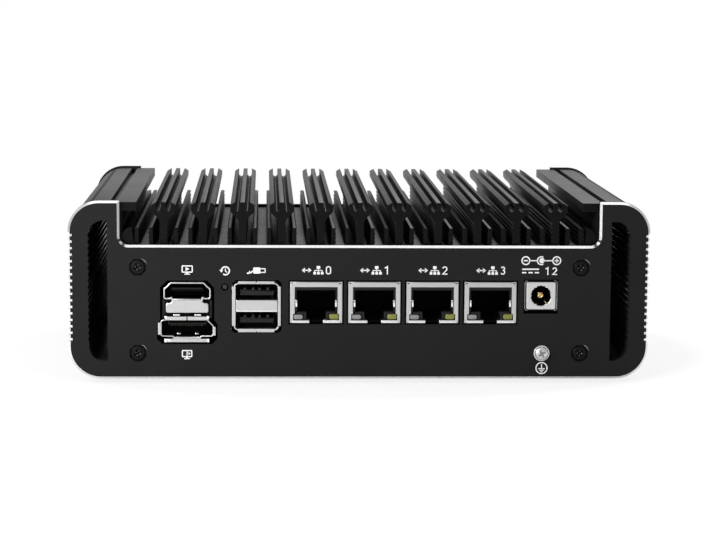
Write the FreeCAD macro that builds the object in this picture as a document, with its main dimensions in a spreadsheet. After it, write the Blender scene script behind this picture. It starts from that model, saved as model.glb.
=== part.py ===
import FreeCAD, Part
import math
import os

import Sketcher

# Fanless mini PC: a finned aluminium extrusion closed by two end panels and a bottom cover,
# with the mainboard hung upside down under the heat sink so that its ports point forward.
#
# Axes: +X to the right of somebody who faces the port panel, +Y away from them, +Z up.
# Heights are measured from the lower edge of the end panels. Every body's Placement then
# lifts it by the height of the rubber feet, so z = 0 is the surface the case stands on.

Vector = FreeCAD.Vector
JACK_COUNT = 4
JACK_CONTACTS = 8
MEMORY_CHIPS = 4  # on each face of the module
DRIVE_CHIPS = 3
COIL_COUNT = 4
CAPACITOR_COUNT = 3

# How many sides a round has where it is drawn as a polygon.
PIN_SIDES = 12
DISC_SIDES = 16
FOOT_SIDES = 20
CELL_SIDES = 24
BUTTON_SIDES = 32

SIZES = {
    # whole case
    "case_width": 178.0,
    "case_depth": 125.5,
    "case_height": 54.7,
    "bottom_radius": 10.0,
    "top_radius": 9.5,
    "shoulder_width": 15.7,
    "shoulder_rise": 13.5,
    "notch_radius": 2.75,
    "fit_gap": 0.05,
    "running_gap": 0.3,
    # end panels
    "panel_thickness": 2.5,
    "panel_lip": 0.6,
    "panel_bevel": 0.7,
    "panel_screw_inset": 21.2,
    "upper_screw_drop": 6.8,
    "lower_screw_rise": 7.9,
    # scalloped sides
    "flute_pitch": 2.0,
    "flute_depth": 0.62,
    "flute_floor": 0.8,
    "flute_crest": 0.06,
    "flute_start": 1.2,
    # air ducts behind the scalloped sides
    "duct_inset": 6.4,
    "duct_width": 5.6,
    "duct_floor": 5.6,
    "duct_roof": 6.0,
    "duct_radius": 4.2,
    "scallop_depth": 0.4,
    # heat sink on top
    "plate_drop": 0.9,
    "plate_thickness": 3.45,
    "shoulder_wall": 16.3,
    "wall_foot": 3.0,
    "slab_reach": 20.7,
    "slab_thickness": 2.7,
    "seam_inset": 12.6,
    "seam_width": 2.0,
    "seam_depth": 1.8,
    "fin_pitch": 12.0,
    "fin_margin": 9.0,
    "head_width": 7.35,
    "prong_width": 1.4,
    "prong_slot_depth": 2.85,
    "head_side": 2.9,
    "stem_width": 2.45,
    "low_fin_offset": 3.85,
    "low_fin_width": 1.38,
    "low_fin_height": 6.0,
    "tooth_pitch": 4.0,
    "tooth_depth": 0.3,
    # inside of the extrusion
    "cavity_wall": 4.0,
    "channel_reach": 3.2,
    # bottom cover and feet
    "cover_inset": 10.0,
    "cover_thickness": 1.2,
    "cover_screw_inset": 14.0,
    "cover_screw_end": 10.0,
    "vent_length": 26.0,
    "vent_width": 3.0,
    "vent_pitch": 14.0,
    "vent_row": 19.0,
    "bracket_pattern": 75.0,
    "bracket_hole_radius": 1.65,
    "foot_height": 1.5,
    "foot_radius": 7.0,
    "foot_inset": 25.0,
    "foot_end": 17.0,
    # case screws
    "screw_head_radius": 2.6,
    "screw_head_height": 1.4,
    "cover_head_height": 0.7,
    "screw_recess": 0.2,
    "screw_radius": 1.2,
    "screw_length": 9.0,
    "cover_screw_length": 4.6,
    # mainboard and what holds it
    "board_thickness": 1.6,
    "board_side_gap": 1.6,
    "board_end_gap": 1.65,
    "board_hole_inset": 4.0,
    "board_hole_front": 21.0,
    "board_hole_back": 27.6,
    "board_hole_radius": 1.6,
    "standoff_height": 5.0,
    "standoff_radius": 2.9,
    "board_screw_head_radius": 3.1,
    "board_screw_head_height": 1.7,
    # processor stack
    "chip_width": 24.0,
    "chip_depth": 35.0,
    "chip_thickness": 1.3,
    "chip_offset": 8.0,
    "pad_thickness": 0.4,
    "spreader_margin": 8.0,
    # network jacks
    "jack_width": 15.95,
    "jack_height": 12.7,
    "jack_depth": 21.0,
    "jack_wall": 0.35,
    "jack_face": 0.5,
    "jack_pitch": 17.8,
    "jack_row_offset": 13.25,
    "jack_drop": 0.2,
    "jack_window_width": 12.9,
    "jack_top_strip": 1.6,
    "jack_bottom_strip": 1.0,
    "latch_gap": 4.2,
    "plug_width": 11.9,
    "plug_depth": 15.5,
    "lamp_width": 2.5,
    "lamp_height": 1.75,
    "lamp_length": 6.0,
    "contact_width": 0.35,
    "contact_pitch": 1.02,
    "contact_thickness": 0.4,
    "contact_length": 9.0,
    "jack_margin": 0.47,
    # where the port faces stand in front of the panel
    "port_proud": 0.4,
    # stacked type A ports
    "stack_width": 14.9,
    "stack_height": 15.75,
    "stack_depth": 17.0,
    "stack_wall": 0.4,
    "stack_corner": 0.9,
    "stack_window_width": 12.6,
    "stack_window_height": 5.0,
    "stack_top_strip": 0.9,
    "stack_bridge": 3.45,
    "stack_tongue_width": 11.1,
    "stack_tongue_thickness": 1.85,
    "stack_tongue_rise": 0.75,
    "stack_plug_depth": 12.0,
    "stack_tongue_recess": 1.2,
    "stack_front_offset": -31.7,
    "stack_back_offset": -30.0,
    "stack_margin": 0.25,
    # video ports, one over the other
    "video_offset": -52.8,
    "video_drop": 0.35,
    "video_depth": 12.0,
    "video_plug_depth": 8.0,
    "video_wall": 0.45,
    "video_block_depth": 4.0,
    "upper_video_width": 14.5,
    "upper_video_height": 5.2,
    "upper_video_cut": 2.0,
    "video_corner": 0.6,
    "upper_tongue_width": 10.4,
    "upper_tongue_thickness": 1.2,
    "lower_video_width": 16.4,
    "lower_video_height": 5.2,
    "lower_video_fall": 11.65,
    "lower_video_cut": 1.75,
    "lower_tongue_width": 12.0,
    "lower_tongue_thickness": 1.2,
    "video_tongue_recess": 1.0,
    "bridge_plate_width": 13.0,
    "bridge_plate_height": 3.1,
    "bridge_neck_width": 9.7,
    "bridge_neck_height": 1.15,
    "bridge_thickness": 0.6,
    "video_cut_width": 16.5,
    "video_cut_corner": 2.2,
    "video_cut_top": 0.5,
    "lower_cut_width": 18.5,
    "lower_cut_drop": 2.3,
    "lower_cut_corner": 1.6,
    "lower_cut_shoulder": 1.4,
    # power inlet
    "inlet_offset": 55.5,
    "inlet_face_width": 10.1,
    "inlet_face_height": 9.45,
    "inlet_face_top": 0.35,
    "inlet_face_thickness": 1.6,
    "inlet_face_bevel": 0.5,
    "inlet_body_width": 9.0,
    "inlet_body_height": 8.8,
    "inlet_depth": 13.5,
    "inlet_bore_radius": 2.95,
    "inlet_bore_depth": 10.0,
    "inlet_pin_radius": 1.0,
    "inlet_pin_recess": 1.2,
    "inlet_margin": 0.25,
    "inlet_cut_drop": 0.65,
    # earth terminal
    "earth_offset": 56.0,
    "earth_rise": 8.0,
    "earth_washer_radius": 2.5,
    "earth_washer_thickness": 0.5,
    "earth_head_radius": 2.15,
    "earth_head_height": 1.1,
    # recessed recovery button
    "recovery_offset": -41.3,
    "recovery_drop": 1.9,
    "recovery_hole_radius": 1.2,
    "recovery_pin_radius": 0.9,
    "recovery_pin_recess": 0.55,
    "recovery_travel": 0.3,
    "recovery_body_width": 3.6,
    "recovery_body_height": 3.7,
    "recovery_body_depth": 6.0,
    "recovery_body_setback": 0.7,
    "recovery_pin_entry": 1.6,
    # power button
    "power_offset": -52.0,
    "power_rise": 19.0,
    "power_cap_radius": 4.8,
    "power_cap_proud": 1.6,
    "power_cap_length": 2.8,
    "power_travel": 1.0,
    "power_flange_radius": 6.8,
    "power_flange_thickness": 0.6,
    "power_sleeve_radius": 5.8,
    "power_can_width": 12.4,
    "power_can_length": 12.0,
    "power_stem_radius": 1.5,
    "power_stem_length": 4.4,
    # status lamps
    "status_offset": -40.0,
    "status_pitch": 6.0,
    "status_radius": 1.5,
    "status_proud": 0.2,
    "status_length": 7.0,
    # memory
    "memory_offset": -22.0,
    "memory_start": -14.0,
    "memory_width": 67.6,
    "memory_length": 30.0,
    "memory_thickness": 1.0,
    "memory_drop": 2.0,
    "memory_chip_gap": 5.9,
    "memory_chip_length": 13.0,
    "memory_chip_height": 0.9,
    "socket_height": 4.0,
    "socket_depth": 6.5,
    "socket_slot": 3.6,
    "socket_arm_width": 2.4,
    "socket_arm_length": 8.0,
    "latch_thickness": 0.7,
    "latch_height": 2.4,
    "latch_length": 24.0,
    "latch_hook": 1.9,
    "latch_pin_radius": 0.6,
    "latch_play": 0.1,
    # solid-state drive
    "drive_offset": -19.0,
    "drive_length": 78.0,
    "drive_width": 22.0,
    "drive_back": 47.0,
    "drive_thickness": 0.8,
    "drive_drop": 2.6,
    "drive_chip_height": 1.3,
    "drive_chip_margin": 3.0,
    "drive_chip_start": 10.0,
    "drive_chip_gap": 4.0,
    "drive_socket_depth": 6.0,
    "drive_socket_height": 4.2,
    "drive_socket_bite": 2.0,
    "drive_post_radius": 2.75,
    "drive_screw_head_radius": 2.4,
    "drive_screw_head_height": 0.9,
    "drive_notch_radius": 1.8,
    # coin cell and small parts of the board
    "cell_offset": 38.0,
    "cell_back": 12.0,
    "cell_radius": 10.0,
    "cell_thickness": 3.2,
    "cell_tray_height": 1.6,
    "cell_tray_rim": 1.4,
    "cell_clip_height": 3.6,
    "coil_size": 6.6,
    "coil_height": 3.0,
    "coil_pitch": 8.4,
    "transformer_width": 14.0,
    "transformer_length": 8.0,
    "transformer_height": 5.6,
    "transformer_gap": 2.0,
    "network_chip_size": 7.0,
    "network_chip_height": 0.9,
    "network_chip_gap": 3.0,
    "capacitor_radius": 3.15,
    "capacitor_height": 5.8,
    "capacitor_pitch": 8.0,
}


class Size:
    """A size that carries its number and the sheet expression that gives it."""

    def __init__(self, value, text):
        self.value = value
        self.text = text

    def __add__(self, other):
        return Size(self.value + number(other), f"({self.text} + {formula(other)})")

    def __radd__(self, other):
        return Size(number(other) + self.value, f"({formula(other)} + {self.text})")

    def __sub__(self, other):
        return Size(self.value - number(other), f"({self.text} - {formula(other)})")

    def __rsub__(self, other):
        return Size(number(other) - self.value, f"({formula(other)} - {self.text})")

    def __mul__(self, other):
        return Size(self.value * number(other), f"({self.text} * {formula(other)})")

    __rmul__ = __mul__

    def __truediv__(self, other):
        return Size(self.value / number(other), f"({self.text} / {formula(other)})")

    def __neg__(self):
        return Size(-self.value, f"(0 - {self.text})")

    def whole(self):
        """The size rounded down to a whole number."""
        return Size(math.floor(self.value), f"floor({self.text})")


def number(size):
    return size.value if isinstance(size, Size) else size


def formula(size):
    return size.text if isinstance(size, Size) else repr(size)


class Bend:
    """A point of an outline that is reached by an arc about the given centre."""

    def __init__(self, across, up, centre_across, centre_up, clockwise=False):
        self.point = (across, up)
        self.centre = (centre_across, centre_up)
        self.clockwise = clockwise


class Ring:
    """A full circle as an outline."""

    def __init__(self, across, up, radius):
        self.centre = (across, up)
        self.radius = radius


# ---------------------------------------------------------------------------
# document and sheet

doc = FreeCAD.newDocument("mini_pc")
sheet = doc.addObject("Spreadsheet::Sheet", "sizes")


def fill_sheet():
    """Write every driving size into the sheet under its own alias."""
    for row, (name, value) in enumerate(SIZES.items(), start=1):
        sheet.set(f"A{row}", name)
        sheet.set(f"B{row}", str(value))
        sheet.setAlias(f"B{row}", name)
    doc.recompute()


class Sheet:
    """The driving sizes by name, each as a Size."""

    def __getattr__(self, name):
        return Size(SIZES[name], f"sizes.{name}")


s = Sheet()


def bind(thing, name, size):
    """Set a property, and tie it to the sheet where the size comes from there."""
    if isinstance(size, Size):
        thing.setExpression(name, size.text)


def place(thing, x=0, y=0, z=0, turn=0):
    """Put a sub-part in the case frame; turn is about the vertical axis, in degrees."""
    lifted = s.foot_height + z
    spin = FreeCAD.Rotation(Vector(0, 0, 1), turn)
    thing.Placement = FreeCAD.Placement(Vector(number(x), number(y), number(lifted)), spin)
    for axis, size in (("x", x), ("y", y), ("z", lifted)):
        bind(thing, f".Placement.Base.{axis}", size)


# ---------------------------------------------------------------------------
# sketches

PLANES = {"XY": ("XY_Plane", 1), "XZ": ("XZ_Plane", -1), "YZ": ("YZ_Plane", 1)}


def origin_feature(body, role):
    return next(item for item in body.Origin.OriginFeatures if item.Role == role)


def pin_point(sketch, edge, end, point):
    """Fix one end of an edge by its two distances from the sketch's origin."""
    for kind, size in zip(("DistanceX", "DistanceY"), point):
        limit = Sketcher.Constraint(kind, -1, 1, edge, end, number(size))
        index = sketch.addConstraint(limit)
        bind(sketch, f"Constraints[{index}]", size)


def draw_ring(sketch, ring):
    across, up = ring.centre
    circle = Part.Circle(Vector(number(across), number(up), 0), Vector(0, 0, 1), number(ring.radius))
    edge = sketch.addGeometry(circle, False)
    pin_point(sketch, edge, 3, ring.centre)
    index = sketch.addConstraint(Sketcher.Constraint("Radius", edge, number(ring.radius)))
    bind(sketch, f"Constraints[{index}]", ring.radius)


def angle_from(centre, point):
    return math.atan2(number(point[1]) - number(centre[1]), number(point[0]) - number(centre[0]))


def draw_arc(sketch, start, bend):
    """Add an arc from start to the bend's point; returns edge, first end, last end."""
    centre = bend.centre
    first, last = angle_from(centre, start), angle_from(centre, bend.point)
    radius = math.hypot(number(start[0]) - number(centre[0]), number(start[1]) - number(centre[1]))
    circle = Part.Circle(Vector(number(centre[0]), number(centre[1]), 0), Vector(0, 0, 1), radius)
    if bend.clockwise:
        edge = sketch.addGeometry(Part.ArcOfCircle(circle, last, first), False)
        return edge, 2, 1
    edge = sketch.addGeometry(Part.ArcOfCircle(circle, first, last), False)
    return edge, 1, 2


def pin_centre(sketch, edge, start, bend):
    """Fix an arc's bulge by one coordinate of its centre."""
    flat = abs(number(bend.point[0]) - number(start[0])) >= abs(number(bend.point[1]) - number(start[1]))
    kind, size = ("DistanceY", bend.centre[1]) if flat else ("DistanceX", bend.centre[0])
    index = sketch.addConstraint(Sketcher.Constraint(kind, -1, 1, edge, 3, number(size)))
    bind(sketch, f"Constraints[{index}]", size)


def draw_loop(sketch, points):
    """Add a closed outline of straight edges and arcs, fully dimensioned."""
    spots = [item.point if isinstance(item, Bend) else item for item in points]
    edges = []
    for index, item in enumerate(points):
        start = spots[index - 1]
        if isinstance(item, Bend):
            edge, first, last = draw_arc(sketch, start, item)
            edges.append((edge, first, last, start, item))
            continue
        ends = [Vector(number(spot[0]), number(spot[1]), 0) for spot in (start, item)]
        edges.append((sketch.addGeometry(Part.LineSegment(*ends), False), 1, 2, start, None))
    for index, (edge, first, last, start, bend) in enumerate(edges):
        before = edges[index - 1]
        sketch.addConstraint(Sketcher.Constraint("Coincident", before[0], before[2], edge, first))
        pin_point(sketch, edge, first, start)
    for edge, first, last, start, bend in edges:
        if bend:
            pin_centre(sketch, edge, start, bend)


def new_sketch(body, name, plane, level, outlines, shift=(0, 0)):
    """A sketch on one of the body's origin planes, at a level along +X, +Y or +Z."""
    role, sign = PLANES[plane]
    sketch = body.newObject("Sketcher::SketchObject", name)
    sketch.AttachmentSupport = (origin_feature(body, role), [""])
    sketch.MapMode = "FlatFace"
    offset = (shift[0], shift[1], level if sign > 0 else -level)
    base = Vector(*(number(item) for item in offset))
    sketch.AttachmentOffset = FreeCAD.Placement(base, FreeCAD.Rotation())
    for axis, size in zip("xyz", offset):
        bind(sketch, f".AttachmentOffset.Base.{axis}", size)
    for outline in outlines:
        if isinstance(outline, Ring):
            draw_ring(sketch, outline)
        else:
            draw_loop(sketch, outline)
    return sketch


# ---------------------------------------------------------------------------
# outlines

def rectangle(left, low, right, high):
    return [(left, low), (right, low), (right, high), (left, high)]


def clipped(left, low, right, high, corner):
    """A rectangle with its four corners cut off."""
    return [
        (left + corner, low),
        (right - corner, low),
        (right, low + corner),
        (right, high - corner),
        (right - corner, high),
        (left + corner, high),
        (left, high - corner),
        (left, low + corner),
    ]


def few_sided(x, y, radius, sides=8):
    """A small round drawn as a regular polygon, so that what repeats stays light."""
    turns = [2 * math.pi * (step + 0.5) / sides for step in range(sides)]
    return [(x + radius * math.cos(turn), y + radius * math.sin(turn)) for turn in turns]


def about(middle, width, low, high):
    """A rectangle centred on an upright line."""
    return rectangle(middle - width / 2, low, middle + width / 2, high)


def both_sides(path, middle=0):
    """Close a right-hand path, drawn from the bottom up, with its mirror image."""
    left, arc = [], None
    for item in reversed(path):
        across, up = item.point if isinstance(item, Bend) else item
        if arc:
            centre = (2 * middle - arc.centre[0], arc.centre[1])
            left.append(Bend(2 * middle - across, up, *centre, arc.clockwise))
        else:
            left.append((2 * middle - across, up))
        arc = item if isinstance(item, Bend) else None
    return path + left


def teeth(across, low, count):
    """Points up the right side of a fin, with a row of shallow teeth cut into it."""
    points = []
    for index in range(count):
        foot = low + s.tooth_pitch * index
        points.append((across, foot))
        points.append((across - s.tooth_depth, foot + s.tooth_pitch / 2))
    return points + [(across, low + s.tooth_pitch * count)]


def centred(width, depth):
    """A rectangle about the sketch's origin."""
    return rectangle(-width / 2, -depth / 2, width / 2, depth / 2)


# ---------------------------------------------------------------------------
# features

def new_body(label):
    body = doc.addObject("PartDesign::Body", label)
    body.Label = label
    return body


def extend(body, kind, name, plane, outlines, start, end, shift=(0, 0)):
    """Pad or pocket outlines from start to end along the plane's own axis."""
    sketch = new_sketch(body, f"{name}_sketch", plane, start, outlines, shift)
    feature = body.newObject(f"PartDesign::{kind}", name)
    feature.Profile = sketch
    length = end - start
    feature.Length = number(length)
    bind(feature, "Length", length)
    forward = PLANES[plane][1] > 0
    feature.Reversed = forward if kind == "Pocket" else not forward
    return feature


def pad(body, name, plane, outlines, start, end, shift=(0, 0)):
    return extend(body, "Pad", name, plane, outlines, start, end, shift)


def pocket(body, name, plane, outlines, start, end, shift=(0, 0)):
    return extend(body, "Pocket", name, plane, outlines, start, end, shift)


def row(body, name, originals, role, pitch, count, reverse=False):
    """Repeat features along one of the body's axes, a pitch apart."""
    pattern = body.newObject("PartDesign::LinearPattern", name)
    pattern.Originals = originals
    pattern.Direction = (origin_feature(body, role), [""])
    pattern.Mode = "Spacing"
    pattern.Reversed = reverse
    pattern.Offset = number(pitch)
    pattern.Occurrences = int(number(count))
    bind(pattern, "Offset", pitch)
    bind(pattern, "Occurrences", count)
    body.Tip = pattern
    return pattern


def chosen_edges(feature, wanted):
    """Names of the feature's edges whose two ends satisfy a test."""
    doc.recompute()
    names = []
    for index, edge in enumerate(feature.Shape.Edges, start=1):
        if all(wanted(vertex.Point) for vertex in edge.Vertexes):
            names.append(f"Edge{index}")
    return names


def bevel(body, name, feature, wanted, size):
    edges = chosen_edges(feature, wanted)
    chamfer = body.newObject("PartDesign::Chamfer", name)
    chamfer.Base = (feature, edges)
    chamfer.Size = number(size)
    bind(chamfer, "Size", size)
    return chamfer


def group(label, master, spots):
    """Copies of a master body at several spots, as one sub-part of separate solids."""
    links = []
    for index, (x, y, z, turn) in enumerate(spots):
        link = doc.addObject("App::Link", f"{label}_{index}")
        link.LinkedObject = master
        place(link, x, y, z, turn)
        links.append(link)
    compound = doc.addObject("Part::Compound", label)
    compound.Label = label
    compound.Links = links
    return compound


# ---------------------------------------------------------------------------
# places that several sub-parts share

half_width = s.case_width / 2
half_depth = s.case_depth / 2
end_plane = half_depth - s.panel_thickness
field_top = s.case_height - s.shoulder_rise
plate_top = field_top - s.plate_drop
plate_under = plate_top - s.plate_thickness
sink_top = s.case_height - s.panel_lip
board_top = plate_under - s.standoff_height
board_low = board_top - s.board_thickness
duct_outer = half_width - s.duct_inset
duct_inner = duct_outer - s.duct_width
duct_top = s.case_height - s.duct_roof
cavity_half = duct_inner - s.cavity_wall
screw_across = half_width - s.panel_screw_inset
screw_heights = (field_top - s.upper_screw_drop, s.lower_screw_rise)
board_half = screw_across - s.channel_reach - s.board_side_gap
board_end = end_plane - s.board_end_gap
cover_top = s.panel_lip + s.cover_thickness
cover_half = half_width - s.cover_inset
flute_count = ((s.case_height - s.bottom_radius - s.top_radius) / s.flute_pitch).whole()
flute_low = s.bottom_radius + s.flute_start + s.flute_pitch / 2
fin_steps = ((half_width - s.shoulder_wall - s.fin_margin) / s.fin_pitch).whole()
jack_first = s.jack_row_offset - s.jack_pitch * (JACK_COUNT - 1) / 2
jack_places = [jack_first + s.jack_pitch * index for index in range(JACK_COUNT)]
status_heights = [s.power_rise + s.status_pitch * step for step in (-0.5, 0.5)]
front_face = -(half_depth + s.port_proud)
jack_top = board_low - s.jack_drop
jack_low = jack_top - s.jack_height
video_top = board_low - s.video_drop
inlet_top = board_low + s.inlet_face_top
inlet_height = inlet_top - s.inlet_face_height / 2
recovery_height = board_low - s.recovery_drop
cover_screw_spots = [
    (side * (half_width - s.cover_screw_inset), end * (end_plane - s.cover_screw_end))
    for side in (-1, 1)
    for end in (-1, 1)
]
panel_screw_spots = [(side * screw_across, height) for side in (-1, 1) for height in screw_heights]
board_hole_spots = [
    (side * (board_half - s.board_hole_inset), y)
    for side in (-1, 1)
    for y in (s.board_hole_front - board_end, board_end - s.board_hole_back)
]


# ---------------------------------------------------------------------------
# the case

def panel_path():
    """Right half of an end panel's outline, with the notch for the heat sink."""
    corner = half_width - s.bottom_radius
    crown = half_width - s.top_radius
    notch = half_width - s.shoulder_width
    throat = field_top + s.notch_radius
    return [
        (corner, 0),
        Bend(half_width, s.bottom_radius, corner, s.bottom_radius),
        (half_width, s.case_height - s.top_radius),
        Bend(crown, s.case_height, crown, s.case_height - s.top_radius),
        (notch, s.case_height),
        (notch, throat),
        Bend(notch - s.notch_radius, field_top, notch - s.notch_radius, throat, clockwise=True),
    ]


def extrusion_path():
    """Right half of the extrusion's outline: shoulder, seam, overhanging slab and field."""
    side = half_width - s.panel_lip
    foot = s.bottom_radius - s.panel_lip
    crown = s.top_radius - s.panel_lip
    seam = half_width - s.seam_inset
    slab = half_width - s.slab_reach
    wall = half_width - s.shoulder_wall
    return [
        (side - foot, s.panel_lip),
        Bend(side, s.bottom_radius, side - foot, s.bottom_radius),
        (side, sink_top - crown),
        Bend(side - crown, sink_top, side - crown, sink_top - crown),
        (seam, sink_top),
        (seam, sink_top - s.seam_depth),
        (seam - s.seam_width, sink_top - s.seam_depth),
        (seam - s.seam_width, sink_top),
        (slab, sink_top),
        (slab, sink_top - s.slab_thickness),
        (wall, sink_top - s.slab_thickness),
        (wall, plate_top + s.wall_foot),
        Bend(wall - s.wall_foot, plate_top, wall - s.wall_foot, plate_top + s.wall_foot, clockwise=True),
    ]


def duct_outline(side):
    """Outline of one air duct: flat towards the middle, round towards the outside."""
    inner, outer = side * duct_inner, side * duct_outer
    shoulder = side * (duct_outer - s.duct_radius)
    low, high = s.duct_floor + s.duct_radius, duct_top - s.duct_radius
    return [
        (inner, s.duct_floor),
        (shoulder, s.duct_floor),
        Bend(outer, low, shoulder, low, clockwise=side < 0),
        (outer, high),
        Bend(shoulder, duct_top, shoulder, high, clockwise=side < 0),
        (inner, duct_top),
    ]


def notch_outline(side):
    """One of the shallow notches that rib the outer wall of a duct."""
    root = side * (duct_outer - s.scallop_depth)
    tip = side * (duct_outer + s.scallop_depth)
    spread = s.flute_pitch - s.flute_crest
    return [(root, flute_low - spread), (tip, flute_low), (root, flute_low + spread)]


def flute_outline(side, face, low=flute_low):
    """One groove of a scalloped side: flat floor and flanks that meet the next groove's."""
    floor, crest = face - s.flute_depth, face - s.flute_crest
    half, narrow = s.flute_pitch / 2, s.flute_floor / 2
    return [
        (side * floor, low - narrow),
        (side * crest, low - half),
        (side * (2 * crest - floor), low - (2 * half - narrow)),
        (side * (2 * crest - floor), low + (2 * half - narrow)),
        (side * crest, low + half),
        (side * floor, low + narrow),
    ]


def mouth_outline(side, face):
    """The bevel at the mouth of a groove's floor, seen from above."""
    floor, front = face - s.flute_depth, -half_depth
    return [
        (side * (floor - s.panel_bevel), front),
        (side * (face + s.fit_gap), front),
        (side * (face + s.fit_gap), front + s.panel_bevel),
        (side * floor, front + s.panel_bevel),
    ]


def cut_flutes(body, face, start, end, bevelled=False):
    """The row of grooves down both side faces, each with the mouth of its floor bevelled where asked."""
    outlines = [flute_outline(side, face) for side in (-1, 1)]
    grooves = [pocket(body, "side_flute", "XZ", outlines, start, end)]
    if bevelled:
        mouths = [mouth_outline(side, face) for side in (-1, 1)]
        low, high = flute_low - s.flute_floor / 2, flute_low + s.flute_floor / 2
        grooves.append(pocket(body, "flute_mouth", "XY", mouths, low, high))
    return row(body, "side_flutes", grooves, "Z_Axis", s.flute_pitch, flute_count)


def cut_ducts(body, start, end):
    """Both air ducts, with the ribbing of the case side repeated on their outer wall."""
    pocket(body, "ducts", "XZ", [duct_outline(side) for side in (-1, 1)], start, end)
    notches = [notch_outline(side) for side in (-1, 1)]
    scallop = pocket(body, "duct_scallop", "XZ", notches, start, end)
    row(body, "duct_scallops", [scallop], "Z_Axis", s.flute_pitch, flute_count)


def fin_path():
    """Right half of a fin: toothed stem, flared head and three prongs."""
    stem, head, prong = s.stem_width / 2, s.head_width / 2, s.prong_width / 2
    head_low = sink_top - s.head_side
    flare = head_low - (head - stem)
    slot = (head - s.prong_width - prong) / 3
    slot_low = sink_top - s.prong_slot_depth
    toothed = int(number((flare - plate_top) / s.tooth_pitch - 0.5))
    return (
        [(stem, plate_top)]
        + teeth(stem, plate_top + s.tooth_pitch / 2, toothed)
        + [
            (stem, flare),
            (head, head_low),
            (head, sink_top),
            (head - s.prong_width, sink_top),
            (head - s.prong_width, slot_low + slot),
            (prong + 2 * slot, slot_low),
            (prong + slot, slot_low),
            (prong, slot_low + slot),
            (prong, sink_top),
        ]
    )


def low_fin_outline(middle):
    """A short plain fin between two tall ones."""
    return about(middle, s.low_fin_width, plate_top, plate_top + s.low_fin_height)


def add_fins(body):
    """The field of tall and low fins, each kind drawn once and repeated across the plate."""
    first = (-s.fin_pitch * fin_steps, 0)
    tall = pad(body, "tall_fin", "XZ", [both_sides(fin_path())], -end_plane, end_plane, first)
    row(body, "tall_fins", [tall], "X_Axis", s.fin_pitch, 2 * fin_steps + 1)
    outlines = [low_fin_outline(-s.low_fin_offset), low_fin_outline(s.low_fin_offset - s.fin_pitch)]
    low = pad(body, "low_fins", "XZ", outlines, -end_plane, end_plane, first)
    row(body, "all_low_fins", [low], "X_Axis", s.fin_pitch, 2 * fin_steps + 2)


def channel_outline(side, height, roof):
    """A screw channel that stands off the cavity wall; the upper ones reach the plate."""
    root, middle = side * (cavity_half + s.cavity_wall / 2), side * screw_across
    face, cut = side * (screw_across - s.channel_reach), s.channel_reach / 2
    low, high = height - s.channel_reach, height + s.channel_reach
    if roof:
        high = plate_under + s.plate_thickness / 2
        return [(root, low), (middle, low), (face, low + cut), (face, high), (root, high)]
    return [(root, low), (middle, low), (face, low + cut), (face, high - cut), (middle, high), (root, high)]


def add_channels(body):
    """Four channels along the whole length that the end panels are screwed to."""
    for side, hand in ((-1, "left"), (1, "right")):
        for height, roof, level in zip(screw_heights, (True, False), ("upper", "lower")):
            outline = channel_outline(side, height, roof)
            pad(body, f"{level}_{hand}_channel", "XZ", [outline], -end_plane, end_plane)
    bores = [few_sided(x, height, s.screw_radius) for x, height in panel_screw_spots]
    pocket(body, "channel_bores", "XZ", bores, -end_plane - 1, end_plane + 1)


def add_case_extrusion():
    """The aluminium extrusion: heat sink, shoulders, air ducts and the board's roof."""
    body = new_body("case_extrusion")
    pad(body, "profile", "XZ", [both_sides(extrusion_path())], -end_plane, end_plane)
    bay = about(0, cavity_half * 2, -s.panel_lip, plate_under)
    pocket(body, "board_bay", "XZ", [bay], -end_plane - 1, end_plane + 1)
    rebate = about(0, cover_half * 2, -s.panel_lip, cover_top)
    pocket(body, "cover_rebate", "XZ", [rebate], -end_plane - 1, end_plane + 1)
    cut_ducts(body, -end_plane - 1, end_plane + 1)
    cut_flutes(body, half_width - s.panel_lip, -end_plane - 1, end_plane + 1)
    add_channels(body)
    bores = [few_sided(x, y, s.screw_radius) for x, y in cover_screw_spots]
    pocket(body, "cover_screw_bores", "XY", bores, cover_top, s.panel_lip + s.cover_screw_length + 1)
    add_fins(body)
    place(body)
    return body


def cut_screw_seats(body, plane, spots, face, floor, back):
    """Stepped holes: a seat for each screw head, and clearance for its shank."""
    rim, clear = s.screw_head_radius + 3 * s.fit_gap, s.screw_radius + 3 * s.fit_gap
    seats = [few_sided(across, up, rim) for across, up in spots]
    pocket(body, "screw_seats", plane, seats, face - 1, floor)
    holes = [few_sided(across, up, clear) for across, up in spots]
    pocket(body, "screw_holes", plane, holes, floor - 1, back + 1)


def end_panel(label, openings):
    """An end panel, outer face towards -Y, with its bevel, ducts, screw seats and openings."""
    body = new_body(label)
    blank = pad(body, "blank", "XZ", [both_sides(panel_path())], -half_depth, -end_plane)
    face = -number(half_depth)
    bevel(body, "bright_bevel", blank, lambda point: abs(point.y - face) < 1e-6, s.panel_bevel)
    cut_flutes(body, half_width, -half_depth - 1, -end_plane + 1, bevelled=True)
    cut_ducts(body, -half_depth - 1, -end_plane + 1)
    seat = -half_depth + s.screw_recess + s.screw_head_height
    cut_screw_seats(body, "XZ", panel_screw_spots, -half_depth, seat, -end_plane)
    pocket(body, "openings", "XZ", openings, -half_depth - 1, -end_plane + 1)
    return body


def stack_opening(middle):
    """The opening that a stacked port stands in, a margin wider all round."""
    half = s.stack_width / 2 + s.stack_margin
    low, high = board_low - s.stack_height - s.stack_margin, board_low + s.stack_margin
    return clipped(middle - half, low, middle + half, high, s.stack_corner)


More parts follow.
